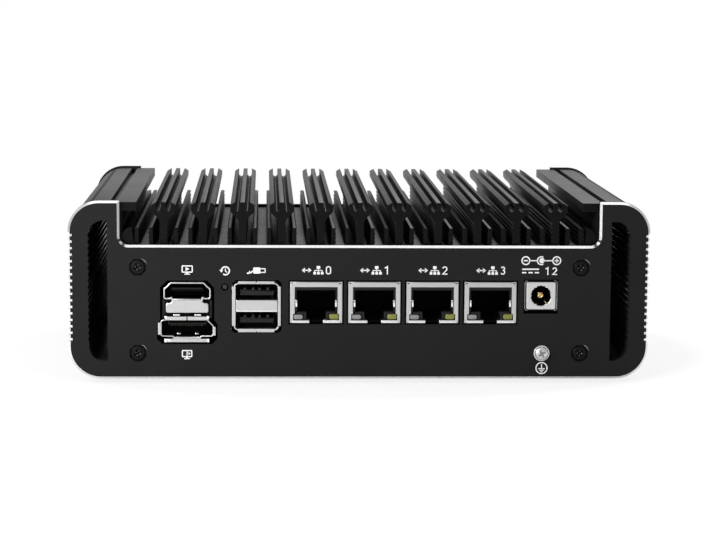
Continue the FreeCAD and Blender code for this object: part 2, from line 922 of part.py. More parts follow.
def video_opening():
    """The opening round both video ports: cut corners above, wider and round below."""
    middle = s.video_offset
    top = video_top + s.video_cut_top
    half, wide, corner = s.video_cut_width / 2, s.lower_cut_width / 2, s.lower_cut_corner
    lower_top = video_top - s.lower_video_fall
    floor = lower_top - s.lower_video_height - s.lower_cut_drop
    path = [
        (middle + wide - corner, floor),
        (middle + wide, floor + corner),
        (middle + wide, lower_top - s.lower_cut_shoulder),
        (middle + half, lower_top),
        (middle + half, top - s.video_cut_corner),
        (middle + half - s.video_cut_corner, top),
    ]
    return both_sides(path, middle)


def port_openings():
    """Outlines of everything that opens through the port panel."""
    wide = s.jack_width + 2 * s.jack_margin
    jacks = [
        about(x, wide, jack_low - s.jack_margin, jack_top + s.jack_margin)
        for x in jack_places
    ]
    stack = stack_opening(s.stack_front_offset)
    inlet = about(
        s.inlet_offset,
        s.inlet_face_width + 2 * s.inlet_margin,
        inlet_top - s.inlet_face_height - s.inlet_margin - s.inlet_cut_drop,
        inlet_top + s.inlet_margin,
    )
    recovery = few_sided(s.recovery_offset, recovery_height, s.recovery_hole_radius, PIN_SIDES)
    earth = few_sided(s.earth_offset, s.earth_rise, s.screw_radius + s.fit_gap)
    return jacks + [stack, video_opening(), inlet, recovery, earth]


def add_io_panel():
    body = end_panel("io_panel", port_openings())
    place(body)
    return body


def power_openings():
    """Outlines of what opens through the opposite panel, as seen from that side."""
    stack = stack_opening(-s.stack_back_offset)
    button = few_sided(-s.power_offset, s.power_rise, s.power_sleeve_radius + s.fit_gap, DISC_SIDES)
    lamp = s.status_radius + s.fit_gap
    lamps = [few_sided(-s.status_offset, height, lamp, PIN_SIDES) for height in status_heights]
    return [stack, button] + lamps


def add_power_panel():
    body = end_panel("power_panel", power_openings())
    place(body, turn=180)
    return body


def add_bottom_cover():
    """Steel cover let into the underside, with vents and a 75 mm bracket pattern."""
    body = new_body("bottom_cover")
    side, end = cover_half - 3 * s.fit_gap, end_plane - 3 * s.fit_gap
    pad(body, "sheet", "XY", [centred(side * 2, end * 2)], s.panel_lip, cover_top)
    spots = [(x * s.bracket_pattern / 2, y * s.bracket_pattern / 2) for x in (-1, 1) for y in (-1, 1)]
    holes = [Ring(x, y, s.bracket_hole_radius) for x, y in spots]
    pocket(body, "bracket_holes", "XY", holes, 0, cover_top + 1)
    steps = ((board_half - s.foot_inset / 2) / s.vent_pitch).whole()
    first = -s.vent_pitch * steps
    slots = [
        rectangle(
            first - s.vent_width / 2,
            side_row * s.vent_row - s.vent_length / 2,
            first + s.vent_width / 2,
            side_row * s.vent_row + s.vent_length / 2,
        )
        for side_row in (-1, 1)
    ]
    slot = pocket(body, "vent", "XY", slots, 0, cover_top + 1)
    row(body, "vents", [slot], "X_Axis", s.vent_pitch, 2 * steps + 1)
    seat = s.panel_lip + s.fit_gap + s.cover_head_height
    cut_screw_seats(body, "XY", cover_screw_spots, s.panel_lip, seat, cover_top)
    place(body)
    return body


def add_rubber_feet():
    """Four round feet stuck under the cover."""
    master = new_body("foot")
    round_face = few_sided(0, 0, s.foot_radius, FOOT_SIDES)
    pad(master, "foot_round", "XY", [round_face], -s.foot_height, s.panel_lip)
    across, along = half_width - s.foot_inset, half_depth - s.foot_end
    spots = [(x * across, y * along, 0, 0) for x in (-1, 1) for y in (-1, 1)]
    return group("rubber_feet", master, spots)


# ---------------------------------------------------------------------------
# screws

def flat_screw(label, plane, start, head_height, length):
    """A flat-headed screw from its outer face inwards, along the plane's own axis."""
    master = new_body(label)
    head = few_sided(0, 0, s.screw_head_radius)
    pad(master, "head", plane, [head], start, start + head_height)
    shank = few_sided(0, 0, s.screw_radius - s.fit_gap)
    pad(master, "shank", plane, [shank], start + head_height, start + length)
    return master


def add_panel_screws():
    """Four screws in each end panel."""
    start = s.screw_recess - half_depth
    master = flat_screw("panel_screw", "XZ", start, s.screw_head_height, s.screw_length)
    front = group("io_panel_screws", master, [(x, 0, z, 0) for x, z in panel_screw_spots])
    back = group("power_panel_screws", master, [(x, 0, z, 180) for x, z in panel_screw_spots])
    return front, back


def add_cover_screws():
    """Four flat screws that hold the bottom cover."""
    start = s.panel_lip + s.fit_gap
    master = flat_screw("cover_screw", "XY", start, s.cover_head_height, s.cover_screw_length)
    return group("cover_screws", master, [(x, y, 0, 0) for x, y in cover_screw_spots])


def add_board_screws():
    """Four hexagon-headed screws that hold the mainboard to its standoffs from below."""
    master = new_body("board_screw")
    head = few_sided(0, 0, s.board_screw_head_radius, 6)
    pad(master, "head", "XY", [head], board_low - s.board_screw_head_height, board_low)
    shank = few_sided(0, 0, s.screw_radius - s.fit_gap, 6)
    pad(master, "shank", "XY", [shank], board_low, board_top + s.standoff_height / 2)
    return group("board_screws", master, [(x, y, 0, 0) for x, y in board_hole_spots])


def add_board_standoffs():
    """Four hexagonal posts that hang the mainboard under the heat sink's plate."""
    master = new_body("board_standoff")
    post = few_sided(0, 0, s.standoff_radius, 6)
    pad(master, "post", "XY", [post], board_top, plate_under)
    bore = few_sided(0, 0, s.screw_radius, 6)
    pocket(master, "bore", "XY", [bore], board_top - 1, board_top + s.standoff_height / 2)
    return group("board_standoffs", master, [(x, y, 0, 0) for x, y in board_hole_spots])


# ---------------------------------------------------------------------------
# network jacks

def lamp_outline(side):
    """Front of one of the two small lamps in the lower corners of a jack."""
    outer = s.jack_window_width / 2 - s.fit_gap
    low = jack_low + s.jack_bottom_strip
    left, right = (outer - s.lamp_width, outer) if side > 0 else (-outer, s.lamp_width - outer)
    return rectangle(left, low + s.fit_gap, right, low + s.lamp_height - s.fit_gap)


def add_lan_shield(index, x):
    """Sheet-metal shield of a network jack: framed window and a gap for the plug's latch."""
    body = new_body(f"lan_shield_{index}")
    width, wall = s.jack_width, s.jack_wall
    pad(body, "shield", "XZ", [about(0, width, jack_low, jack_top)], 0, s.jack_depth)
    inside = about(0, width - 2 * wall, jack_low + wall, jack_top - wall)
    pocket(body, "hollow", "XZ", [inside], s.jack_face, s.jack_depth + 1)
    window = about(0, s.jack_window_width, jack_low + s.jack_bottom_strip, jack_top - s.jack_top_strip)
    pocket(body, "window", "XZ", [window], -s.jack_face, 2 * s.jack_face)
    latch = about(0, s.latch_gap, jack_low - 1, jack_low + s.jack_bottom_strip + s.fit_gap)
    pocket(body, "latch_gap", "XZ", [latch], -s.jack_face, 3 * s.jack_face)
    place(body, x, front_face)
    return body


def add_lan_insert(index, x):
    """Black insert of a network jack with the stepped bay that takes the plug."""
    body = new_body(f"lan_insert_{index}")
    gap = s.jack_wall + s.fit_gap
    block = about(0, s.jack_width - 2 * gap, jack_low + gap, jack_top - gap)
    pad(body, "insert", "XZ", [block], s.jack_face + s.fit_gap, s.jack_depth - 1)
    floor = jack_low + s.jack_bottom_strip
    bay = about(0, s.plug_width, floor + s.lamp_height, jack_top - s.jack_top_strip)
    pocket(body, "plug_bay", "XZ", [bay], -s.jack_face, s.plug_depth)
    lower = about(0, s.jack_window_width - 2 * s.lamp_width, floor, floor + 2 * s.lamp_height)
    pocket(body, "lower_bay", "XZ", [lower], -s.jack_face, s.plug_depth)
    latch = about(0, s.latch_gap, jack_low + gap + s.fit_gap, floor + s.lamp_height)
    pocket(body, "latch_bay", "XZ", [latch], -s.jack_face, s.contact_length)
    outer = s.jack_window_width / 2
    seats = [
        rectangle(left, floor, left + s.lamp_width, floor + s.lamp_height)
        for left in (-outer, outer - s.lamp_width)
    ]
    pocket(body, "lamp_seats", "XZ", seats, -s.jack_face, s.lamp_length + s.fit_gap)
    place(body, x, front_face)
    return body


def add_lan_contacts():
    """Eight flat contact springs under the roof of each jack."""
    master = new_body("contact_comb")
    first = -(JACK_CONTACTS - 1) / 2 * s.contact_pitch
    top = jack_top - s.jack_top_strip
    bar = about(first, s.contact_width, top - s.contact_thickness, top)
    start = s.plug_depth - s.contact_length - 1
    spring = pad(master, "contact", "XZ", [bar], start, s.plug_depth - s.fit_gap)
    row(master, "contacts", [spring], "X_Axis", s.contact_pitch, JACK_CONTACTS)
    return group("lan_contacts", master, [(x, front_face, 0, 0) for x in jack_places])


def add_lamps(label, side):
    """The lamps on one side of the four jacks."""
    master = new_body(f"{label}_lamp")
    pad(master, "light_pipe", "XZ", [lamp_outline(side)], 2 * s.fit_gap, s.lamp_length)
    return group(label, master, [(x, front_face, 0, 0) for x in jack_places])


# ---------------------------------------------------------------------------
# stacked type A ports

def stack_windows():
    """The two windows of a stacked port, upper one first."""
    upper_high = board_low - s.stack_top_strip
    upper_low = upper_high - s.stack_window_height
    lower_high = upper_low - s.stack_bridge
    lower_low = lower_high - s.stack_window_height
    wide = s.stack_window_width
    return [about(0, wide, upper_low, upper_high), about(0, wide, lower_low, lower_high)]


def stack_shape(inset):
    """Outline of a stacked port, drawn in from its outside by the inset."""
    half, corner = s.stack_width / 2 - inset, s.stack_corner - inset / 2
    return clipped(-half, board_low - s.stack_height + inset, half, board_low - inset, corner)


def add_stack_shell(label, x, y, turn):
    """Metal shell of two type A ports, one over the other."""
    body = new_body(label)
    pad(body, "shell", "XZ", [stack_shape(0)], 0, s.stack_depth)
    pocket(body, "hollow", "XZ", [stack_shape(s.stack_wall)], s.stack_wall, s.stack_depth + 1)
    pocket(body, "windows", "XZ", stack_windows(), -s.stack_wall, 2 * s.stack_wall)
    place(body, x, y, turn=turn)
    return body


def add_stack_insulator(label, x, y, turn):
    """Moulded core of a stacked port: two bays, each with its contact tongue."""
    body = new_body(label)
    core = stack_shape(s.stack_wall + s.fit_gap)
    pad(body, "core", "XZ", [core], s.stack_wall + s.fit_gap, s.stack_depth - s.stack_wall)
    pocket(body, "bays", "XZ", stack_windows(), -s.stack_wall, s.stack_plug_depth)
    tongues = []
    for window in stack_windows():
        low = window[0][1] + s.stack_tongue_rise
        tongues.append(about(0, s.stack_tongue_width, low, low + s.stack_tongue_thickness))
    pad(body, "tongues", "XZ", tongues, s.stack_tongue_recess, s.stack_plug_depth + s.stack_wall)
    place(body, x, y, turn=turn)
    return body


# ---------------------------------------------------------------------------
# video ports

def video_outline(width, low, high, left_cut, right_cut, inset):
    """A video port's outline: small corners below, cut ones above, drawn in by the inset."""
    half, floor, top = width / 2 - inset, low + inset, high - inset
    shrink = (2 - math.sqrt(2)) * inset
    foot, right = s.video_corner - shrink, right_cut - shrink
    points = [
        (foot - half, floor),
        (half - foot, floor),
        (half, floor + foot),
        (half, top - right),
        (half - right, top),
    ]
    left = [(-half, top)]
    if number(left_cut):
        left = [(left_cut - shrink - half, top), (-half, top - left_cut + shrink)]
    return points + left + [(-half, floor + foot)]


def upper_video(inset):
    low = video_top - s.upper_video_height
    return video_outline(s.upper_video_width, low, video_top, s.upper_video_cut, s.upper_video_cut, inset)


def lower_video(inset):
    top = video_top - s.lower_video_fall
    low = top - s.lower_video_height
    return video_outline(s.lower_video_width, low, top, 0, s.lower_video_cut, inset)


def add_video_shell(label, outline):
    """Thin metal shell of one video port, open at both ends."""
    body = new_body(label)
    pad(body, "shell", "XZ", [outline(0)], 0, s.video_depth)
    pocket(body, "mouth", "XZ", [outline(s.video_wall)], -s.video_wall, s.video_depth + 1)
    place(body, s.video_offset, front_face)
    return body


def add_video_insulator(label, outline, middle, width, thickness):
    """Core of a video port with the contact tongue that the plug slides over."""
    body = new_body(label)
    pad(body, "core", "XZ", [outline(s.video_wall + s.fit_gap)], s.video_plug_depth, s.video_depth)
    tongue = about(0, width, middle - thickness / 2, middle + thickness / 2)
    pad(body, "tongue", "XZ", [tongue], s.video_tongue_recess, s.video_plug_depth + s.video_wall)
    place(body, s.video_offset, front_face)
    return body


def add_video_housing():
    """Block behind the two video ports that carries both shells."""
    body = new_body("video_stack_housing")
    low = video_top - s.lower_video_fall - s.lower_video_height
    block = about(0, s.lower_video_width, low, video_top)
    end = s.video_depth + s.video_block_depth
    pad(body, "block", "XZ", [block], s.video_depth, end)
    place(body, s.video_offset, front_face)
    return body


def add_video_bracket():
    """Front plate between the video ports, with the neck that meets the upper shell."""
    body = new_body("video_stack_bracket")
    neck_top = video_top - s.upper_video_height
    plate_high = neck_top - s.bridge_neck_height
    neck, plate = s.bridge_neck_width / 2, s.bridge_plate_width / 2
    path = [
        (plate, plate_high - s.bridge_plate_height),
        (plate, plate_high),
        (neck, plate_high),
        (neck, neck_top),
    ]
    pad(body, "plate", "XZ", [both_sides(path)], s.bridge_thickness, 2 * s.bridge_thickness)
    web_low = video_top - s.lower_video_fall
    web = about(0, s.bridge_neck_width, web_low, plate_high)
    pad(body, "web", "XZ", [web], 2 * s.bridge_thickness, s.video_depth)
    place(body, s.video_offset, front_face)
    return body


# ---------------------------------------------------------------------------
# power inlet, earth terminal and recovery button

def add_inlet():
    """Square-faced coaxial power inlet: bevelled face, body and centre pin."""
    bore = few_sided(0, inlet_height, s.inlet_bore_radius, CELL_SIDES)
    face = new_body("dc_jack_face")
    low = inlet_top - s.inlet_face_height
    front = about(0, s.inlet_face_width, low, inlet_top)
    plate = pad(face, "plate", "XZ", [front], 0, s.inlet_face_thickness)
    bevel(face, "face_bevel", plate, lambda point: abs(point.y) < 1e-6, s.inlet_face_bevel)
    pocket(face, "bore", "XZ", [bore], -s.inlet_face_bevel, 2 * s.inlet_face_thickness)
    body = new_body("dc_jack_body")
    block = about(0, s.inlet_body_width, board_low - s.inlet_body_height, board_low)
    pad(body, "block", "XZ", [block], s.inlet_face_thickness, s.inlet_depth)
    pocket(body, "bore", "XZ", [bore], -s.inlet_face_bevel, s.inlet_bore_depth)
    pin = new_body("dc_jack_pin")
    tip = few_sided(0, inlet_height, s.inlet_pin_radius, PIN_SIDES)
    pad(pin, "pin", "XZ", [tip], s.inlet_pin_recess, s.inlet_bore_depth)
    for item in (face, body, pin):
        place(item, s.inlet_offset, front_face)
    return face, body, pin


def add_earth_terminal():
    """Earth screw with its washer on the port panel."""
    washer = new_body("ground_washer")
    disc = few_sided(0, s.earth_rise, s.earth_washer_radius, DISC_SIDES)
    hole = few_sided(0, s.earth_rise, s.screw_radius)
    pad(washer, "washer", "XZ", [disc, hole], -half_depth - s.earth_washer_thickness, -half_depth)
    screw = new_body("ground_screw")
    start = -half_depth - s.earth_washer_thickness
    head = few_sided(0, s.earth_rise, s.earth_head_radius, DISC_SIDES)
    pad(screw, "head", "XZ", [head], start - s.earth_head_height, start)
    shank = few_sided(0, s.earth_rise, s.screw_radius - s.fit_gap)
    pad(screw, "shank", "XZ", [shank], start, -end_plane + 1)
    for item in (washer, screw):
        place(item, s.earth_offset)
    return washer, screw


def add_recovery_button():
    """Recessed button behind its pinhole, and the small switch that it works."""
    start = s.recovery_body_setback - end_plane
    tip = start + s.recovery_pin_entry
    plunger = new_body("recovery_plunger")
    pin = few_sided(0, recovery_height, s.recovery_pin_radius, PIN_SIDES)
    pad(plunger, "pin", "XZ", [pin], s.recovery_pin_recess - half_depth, tip)
    switch = new_body("recovery_switch")
    case = about(0, s.recovery_body_width, board_low - s.recovery_body_height, board_low)
    pad(switch, "case", "XZ", [case], start, start + s.recovery_body_depth)
    guide = few_sided(0, recovery_height, s.recovery_pin_radius + s.running_gap, PIN_SIDES)
    pocket(switch, "guide", "XZ", [guide], start - 1, tip + s.recovery_travel + s.running_gap)
    for item in (plunger, switch):
        place(item, s.recovery_offset)
    return plunger, switch


# ---------------------------------------------------------------------------
# power button and status lamps, modelled as seen from their own panel

def add_power_button():
    """Round push button: sprung cap with its stem, bezel through the panel, and switch can."""
    front = -half_depth - s.power_cap_proud
    cap_back = front + s.power_cap_length
    stem_end = cap_back + s.power_stem_length
    cap = new_body("power_button_cap")
    disc = few_sided(0, s.power_rise, s.power_cap_radius, BUTTON_SIDES)
    pad(cap, "disc", "XZ", [disc], front, cap_back)
    stem = few_sided(0, s.power_rise, s.power_stem_radius)
    pad(cap, "stem", "XZ", [stem], cap_back, stem_end)
    bezel = new_body("power_button_bezel")
    bore = few_sided(0, s.power_rise, s.power_cap_radius + s.running_gap, BUTTON_SIDES)
    flange = few_sided(0, s.power_rise, s.power_flange_radius, BUTTON_SIDES)
    pad(bezel, "flange", "XZ", [flange], -half_depth - s.power_flange_thickness, -half_depth)
    sleeve = few_sided(0, s.power_rise, s.power_sleeve_radius, DISC_SIDES)
    pad(bezel, "sleeve", "XZ", [sleeve], -half_depth, -end_plane)
    mouth = -half_depth - s.power_flange_thickness - 1
    pocket(bezel, "bore", "XZ", [bore], mouth, -end_plane + 1)
    can = new_body("power_switch")
    half = s.power_can_width / 2
    block = about(0, s.power_can_width, s.power_rise - half, s.power_rise + half)
    pad(can, "can", "XZ", [block], -end_plane, s.power_can_length - end_plane)
    guide = few_sided(0, s.power_rise, s.power_stem_radius + s.running_gap)
    pocket(can, "guide", "XZ", [guide], -end_plane - 1, stem_end + s.power_travel + s.running_gap)
    for item in (cap, bezel, can):
        place(item, s.power_offset, turn=180)
    return cap, bezel, can


def add_status_lamps():
    """Two light pipes beside the power button."""
    master = new_body("status_lamp")
    pipe = few_sided(0, 0, s.status_radius, PIN_SIDES)
    pad(master, "pipe", "XZ", [pipe], -half_depth - s.status_proud, s.status_length - half_depth)
    return group("status_lamps", master, [(s.status_offset, 0, height, 180) for height in status_heights])


# ---------------------------------------------------------------------------
# mainboard and what sits on it

def add_mainboard():
    """The circuit board, hung with its ports downwards."""
    body = new_body("mainboard")
    pad(body, "board", "XY", [centred(board_half * 2, board_end * 2)], board_low, board_top)
    holes = [few_sided(x, y, s.board_hole_radius) for x, y in board_hole_spots]
    pocket(body, "holes", "XY", holes, board_low - 1, board_top + 1)
    place(body)
    return body


def add_processor():
    """Processor package, thermal pad and the block that passes its heat to the plate."""
    package = new_body("processor")
    pad_sheet = new_body("thermal_pad")
    block = new_body("heat_spreader")
    chip = centred(s.chip_width, s.chip_depth)
    wide = centred(s.chip_width + s.spreader_margin, s.chip_depth + s.spreader_margin)
    chip_top = board_top + s.chip_thickness
    pad_top = chip_top + s.pad_thickness
    pad(package, "package", "XY", [chip], board_top, chip_top)
    pad(pad_sheet, "sheet", "XY", [chip], chip_top, pad_top)
    pad(block, "block", "XY", [wide], pad_top, plate_under)
    for item in (package, pad_sheet, block):
        place(item, 0, s.chip_offset)
    return package, pad_sheet, block


def slab(body, name, left, near, right, far, low, high):
    """A plain block between two corners."""
    return pad(body, name, "XY", [rectangle(left, near, right, far)], low, high)


socket_back = s.memory_start + s.socket_depth
module_high = board_low - s.memory_drop
module_low = module_high - s.memory_thickness
module_near = socket_back - s.socket_slot + s.fit_gap
latch_axis_across = s.memory_width / 2 + s.running_gap + s.socket_arm_width / 2
latch_eye = s.latch_pin_radius + s.latch_play + s.latch_thickness
latch_axis_along = socket_back + s.socket_arm_length + s.running_gap + latch_eye
lip_low = board_low - s.latch_thickness


def add_memory_socket():
    """Memory socket: slotted block, two arms and the pins that the latches turn on."""
    body = new_body("memory_socket")
    half = s.memory_width / 2 + s.running_gap + s.socket_arm_width
    low = board_low - s.socket_height
    slab(body, "block", -half, s.memory_start, half, socket_back, low, board_low)
    for side, hand in ((-1, "left"), (1, "right")):
        inner, outer = side * (half - s.socket_arm_width), side * half
        arm_end = socket_back + s.socket_arm_length
        slab(body, f"{hand}_arm", inner, socket_back, outer, arm_end, low, board_low)
        end = latch_axis_along + latch_eye
        slab(body, f"{hand}_lip", inner, socket_back, outer, end, lip_low, board_low)
        pin = few_sided(side * latch_axis_across, latch_axis_along, s.latch_pin_radius, PIN_SIDES)
        pad(body, f"{hand}_pin", "XY", [pin], lip_low - s.latch_height - s.fit_gap, lip_low)
    wide = s.memory_width / 2 + s.fit_gap
    slot = rectangle(-wide, socket_back - s.socket_slot, wide, socket_back + 1)
    pocket(body, "slot", "XY", [slot], module_low - s.fit_gap, module_high + s.fit_gap)
    place(body, s.memory_offset)
    return body


def add_memory_latch(label, side):
    """Spring latch: an eye round its pin, a long arm, and a hook under the module."""
    body = new_body(label)
    top = lip_low - s.fit_gap
    low = top - s.latch_height
    radii = (latch_eye, s.latch_pin_radius + s.latch_play)
    eye = [few_sided(0, 0, radius, PIN_SIDES) for radius in radii]
    pad(body, "eye", "XY", eye, low, top)
    half = s.latch_thickness / 2
    slab(body, "arm", -half, latch_eye - s.latch_thickness / 2, half, s.latch_length, low, top)
    hook_top = module_low - 2 * s.fit_gap
    reach = s.latch_hook + s.running_gap
    ends = (-side * reach, half) if side > 0 else (-half, -side * reach)
    hook_near = s.latch_length - 3 * s.latch_thickness
    slab(body, "hook", ends[0], hook_near, ends[1], s.latch_length, hook_top - s.latch_thickness, hook_top)
    slab(body, "drop", -half, hook_near, half, s.latch_length, hook_top - s.latch_thickness, top)
    place(body, s.memory_offset + side * latch_axis_across, latch_axis_along)
    return body


def add_memory_module():
    """Memory module with four chips on each face."""
    body = new_body("memory_module")
    half = s.memory_width / 2
    slab(body, "card", -half, module_near, half, module_near + s.memory_length, module_low, module_high)
    pitch = s.memory_width / MEMORY_CHIPS
    chip = centred(pitch - s.memory_chip_gap, s.memory_chip_length)
    centre = (-(MEMORY_CHIPS - 1) / 2 * pitch, socket_back + s.memory_length / 2 - 1)
    low = module_low - s.memory_chip_height
    chips = pad(body, "chip", "XY", [chip], low, module_high + s.memory_chip_height, centre)
    row(body, "chips", [chips], "X_Axis", pitch, MEMORY_CHIPS)
    place(body, s.memory_offset)
    return body


drive_high = board_low - s.drive_drop
drive_low = drive_high - s.drive_thickness
drive_end = s.drive_offset + s.drive_length


def add_drive():
    """Solid-state drive card in its socket, held by a screw on a post at the other end."""
    card = new_body("solid_state_drive")
    half = s.drive_width / 2
    slab(card, "card", s.drive_offset, -half, drive_end, half, drive_low, drive_high)
    chip_low = drive_low - s.drive_chip_height
    side = s.drive_width - 2 * s.drive_chip_margin
    for index in range(DRIVE_CHIPS):
        left = s.drive_offset + s.drive_chip_start + index * (side + s.drive_chip_gap)
        slab(card, f"chip_{index}", left, -side / 2, left + side, side / 2, chip_low, drive_low)
    notch = few_sided(s.drive_offset, 0, s.drive_notch_radius)
    pocket(card, "notch", "XY", [notch], drive_low - 1, drive_high + 1)
    socket = new_body("drive_socket")
    near = drive_end - s.drive_socket_bite
    low = board_low - s.drive_socket_height
    slab(socket, "block", near, -half - 1, near + s.drive_socket_depth, half + 1, low, board_low)
    slot = rectangle(near - 1, -half - s.fit_gap, drive_end + s.fit_gap, half + s.fit_gap)
    pocket(socket, "slot", "XY", [slot], drive_low - s.fit_gap, drive_high + s.fit_gap)
    post = new_body("drive_post")
    outlines = [few_sided(s.drive_offset, 0, radius) for radius in (s.drive_post_radius, s.screw_radius)]
    pad(post, "post", "XY", outlines, drive_high, board_low)
    screw = new_body("drive_screw")
    head = few_sided(s.drive_offset, 0, s.drive_screw_head_radius)
    pad(screw, "head", "XY", [head], drive_low - s.drive_screw_head_height, drive_low)
    shank = few_sided(s.drive_offset, 0, s.screw_radius - s.fit_gap)
    pad(screw, "shank", "XY", [shank], drive_low, board_low - s.drive_thickness)
    for item in (card, socket, post, screw):
        place(item, 0, s.drive_back)
    return card, socket, post, screw


def add_coin_cell():
    """Clock battery under its tray."""
    tray = new_body("coin_cell_holder")
    low = board_low - s.cell_tray_height
    outer = s.cell_radius + s.cell_tray_rim
    pad(tray, "tray", "XY", [centred(2 * outer, 2 * outer)], low, board_low)
    for side, hand in ((-1, "left"), (1, "right")):
        ends = sorted((side * (s.cell_radius + s.fit_gap), side * outer), key=number)
        clip = rectangle(ends[0], -s.cell_tray_rim, ends[1], s.cell_tray_rim)
        pad(tray, f"{hand}_clip", "XY", [clip], low - s.cell_clip_height, board_low)
    cell = new_body("coin_cell")
    pad(cell, "cell", "XY", [few_sided(0, 0, s.cell_radius, CELL_SIDES)], low - s.cell_thickness, low)
    for item in (tray, cell):
        place(item, s.cell_offset, s.cell_back)
    return tray, cell


def add_board_parts():
    """Transformers, network chips, coils and capacitors under the board."""
    near = front_face + s.jack_depth + s.transformer_gap
    transformer = new_body("transformer")
    outline = rectangle(-s.transformer_width / 2, 0, s.transformer_width / 2, s.transformer_length)
    pad(transformer, "block", "XY", [outline], board_low - s.transformer_height, board_low)
    chip = new_body("network_chip")
    square = centred(s.network_chip_size, s.network_chip_size)
    pad(chip, "package", "XY", [square], board_low - s.network_chip_height, board_low)
    chip_y = near + s.transformer_length + s.network_chip_gap + s.network_chip_size / 2
    coil = new_body("coil")
    pad(coil, "block", "XY", [centred(s.coil_size, s.coil_size)], board_low - s.coil_height, board_low)
    can = new_body("capacitor")
    base = few_sided(0, 0, s.capacitor_radius, PIN_SIDES)
    pad(can, "can", "XY", [base], board_low - s.capacitor_height, board_low)
    coil_x, can_y = s.inlet_offset - s.coil_size / 2, near + s.transformer_length / 2
    coil_rows = [near + s.coil_pitch * (step + 1) for step in range(COIL_COUNT)]
    can_places = [s.stack_front_offset - s.capacitor_pitch * step for step in range(CAPACITOR_COUNT)]
    return (
        group("lan_transformers", transformer, [(x, near, 0, 0) for x in jack_places]),
        group("network_chips", chip, [(x, chip_y, 0, 0) for x in jack_places]),
        group("power_coils", coil, [(coil_x, y, 0, 0) for y in coil_rows]),
        group("capacitors", can, [(x, can_y, 0, 0) for x in can_places]),
    )


# ---------------------------------------------------------------------------
# build, check and write

def build():
    """Make every sub-part; the order is from the case inwards."""
    made = [add_case_extrusion(), add_io_panel(), add_power_panel(), add_bottom_cover(), add_rubber_feet()]
    made += add_panel_screws()
    made += [add_cover_screws(), add_board_screws(), add_board_standoffs()]
    for index, x in enumerate(jack_places):
        made += [add_lan_shield(index, x), add_lan_insert(index, x)]
    made += [add_lan_contacts(), add_lamps("link_leds", -1), add_lamps("activity_leds", 1)]
    made.append(add_stack_shell("front_stack_shell", s.stack_front_offset, front_face, 0))
    made.append(add_stack_insulator("front_stack_insulator", s.stack_front_offset, front_face, 0))
    made.append(add_stack_shell("rear_stack_shell", s.stack_back_offset, -front_face, 180))
    made.append(add_stack_insulator("rear_stack_insulator", s.stack_back_offset, -front_face, 180))
    made.append(add_video_shell("upper_video_shell", upper_video))
    made.append(add_video_shell("lower_video_shell", lower_video))
    upper_middle = video_top - s.upper_video_height / 2
    lower_middle = video_top - s.lower_video_fall - s.lower_video_height / 2
    upper = (upper_video, upper_middle, s.upper_tongue_width, s.upper_tongue_thickness)
    lower = (lower_video, lower_middle, s.lower_tongue_width, s.lower_tongue_thickness)
    made.append(add_video_insulator("upper_video_insulator", *upper))
    made.append(add_video_insulator("lower_video_insulator", *lower))
    made += [add_video_housing(), add_video_bracket()]
    made += add_inlet()
    made += add_earth_terminal()
    made += add_recovery_button()
    made += add_power_button()
    made += [add_status_lamps(), add_mainboard()]
    made += add_processor()
    made += [add_memory_socket(), add_memory_module()]
    made += [add_memory_latch("memory_latch_left", -1), add_memory_latch("memory_latch_right", 1)]
    made += add_drive()
    made += add_coin_cell()
    made += add_board_parts()
    doc.recompute()
    return made


def check(made):
    """Stop if any object failed, or if a sub-part has no sound shape."""
    failed = [item.Name for item in doc.Objects if {"Invalid", "Error"} & set(item.State)]
    loose = [
        item.Name
        for item in doc.Objects
        if item.TypeId == "Sketcher::SketchObject" and not item.FullyConstrained
    ]
    unsound = [item.Label for item in made if item.Shape.isNull() or not item.Shape.isValid()]
    empty = [item.Label for item in made if not item.Shape.Solids]
    if failed or loose or unsound or empty:
        raise RuntimeError(f"failed {failed}, loose {loose}, unsound {unsound}, empty {empty}")


def write(made):
    """One STEP file for each sub-part, named after it."""
    os.makedirs("parts", exist_ok=True)
    for item in made:
        item.Shape.exportStep(f"parts/{item.Label}.step")
        solids = len(item.Shape.Solids)
        print(f"{item.Label}: {solids} solid(s), {item.Shape.Volume:.1f} mm3")


fill_sheet()
parts_made = build()
check(parts_made)
write(parts_made)
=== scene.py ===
"""Looks of a fanless mini PC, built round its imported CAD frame.

Every sub-assembly is a class. Its sizes are in millimetres, measured as on the maker's
drawings: X to the right of somebody who faces the port panel, Y away from them, and Z up
from the lower edge of the end panels. A mould gathers the shapes of one piece and casts
them in metres in the frame that the CAD uses.
"""

from __future__ import annotations

import logging
import math
import sys
from dataclasses import dataclass, field
from enum import Enum
from typing import Sequence, Union

import bmesh
import bpy
from mathutils import Matrix, Vector


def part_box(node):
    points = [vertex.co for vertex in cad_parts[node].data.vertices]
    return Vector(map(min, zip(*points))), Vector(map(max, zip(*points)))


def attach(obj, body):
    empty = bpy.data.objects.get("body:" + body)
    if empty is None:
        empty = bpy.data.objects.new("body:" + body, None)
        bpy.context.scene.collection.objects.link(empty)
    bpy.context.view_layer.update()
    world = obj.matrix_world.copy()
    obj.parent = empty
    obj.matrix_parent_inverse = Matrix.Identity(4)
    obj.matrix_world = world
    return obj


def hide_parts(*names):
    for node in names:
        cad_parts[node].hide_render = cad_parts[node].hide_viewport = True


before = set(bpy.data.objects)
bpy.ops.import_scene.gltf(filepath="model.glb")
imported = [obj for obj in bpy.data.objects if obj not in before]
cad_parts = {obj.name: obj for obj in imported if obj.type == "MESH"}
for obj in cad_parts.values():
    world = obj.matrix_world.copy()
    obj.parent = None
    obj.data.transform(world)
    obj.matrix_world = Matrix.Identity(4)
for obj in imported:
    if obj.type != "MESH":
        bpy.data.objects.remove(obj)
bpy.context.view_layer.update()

LOG = logging.getLogger("mini_pc")
MM = 0.001
FOOT_HEIGHT = 1.5
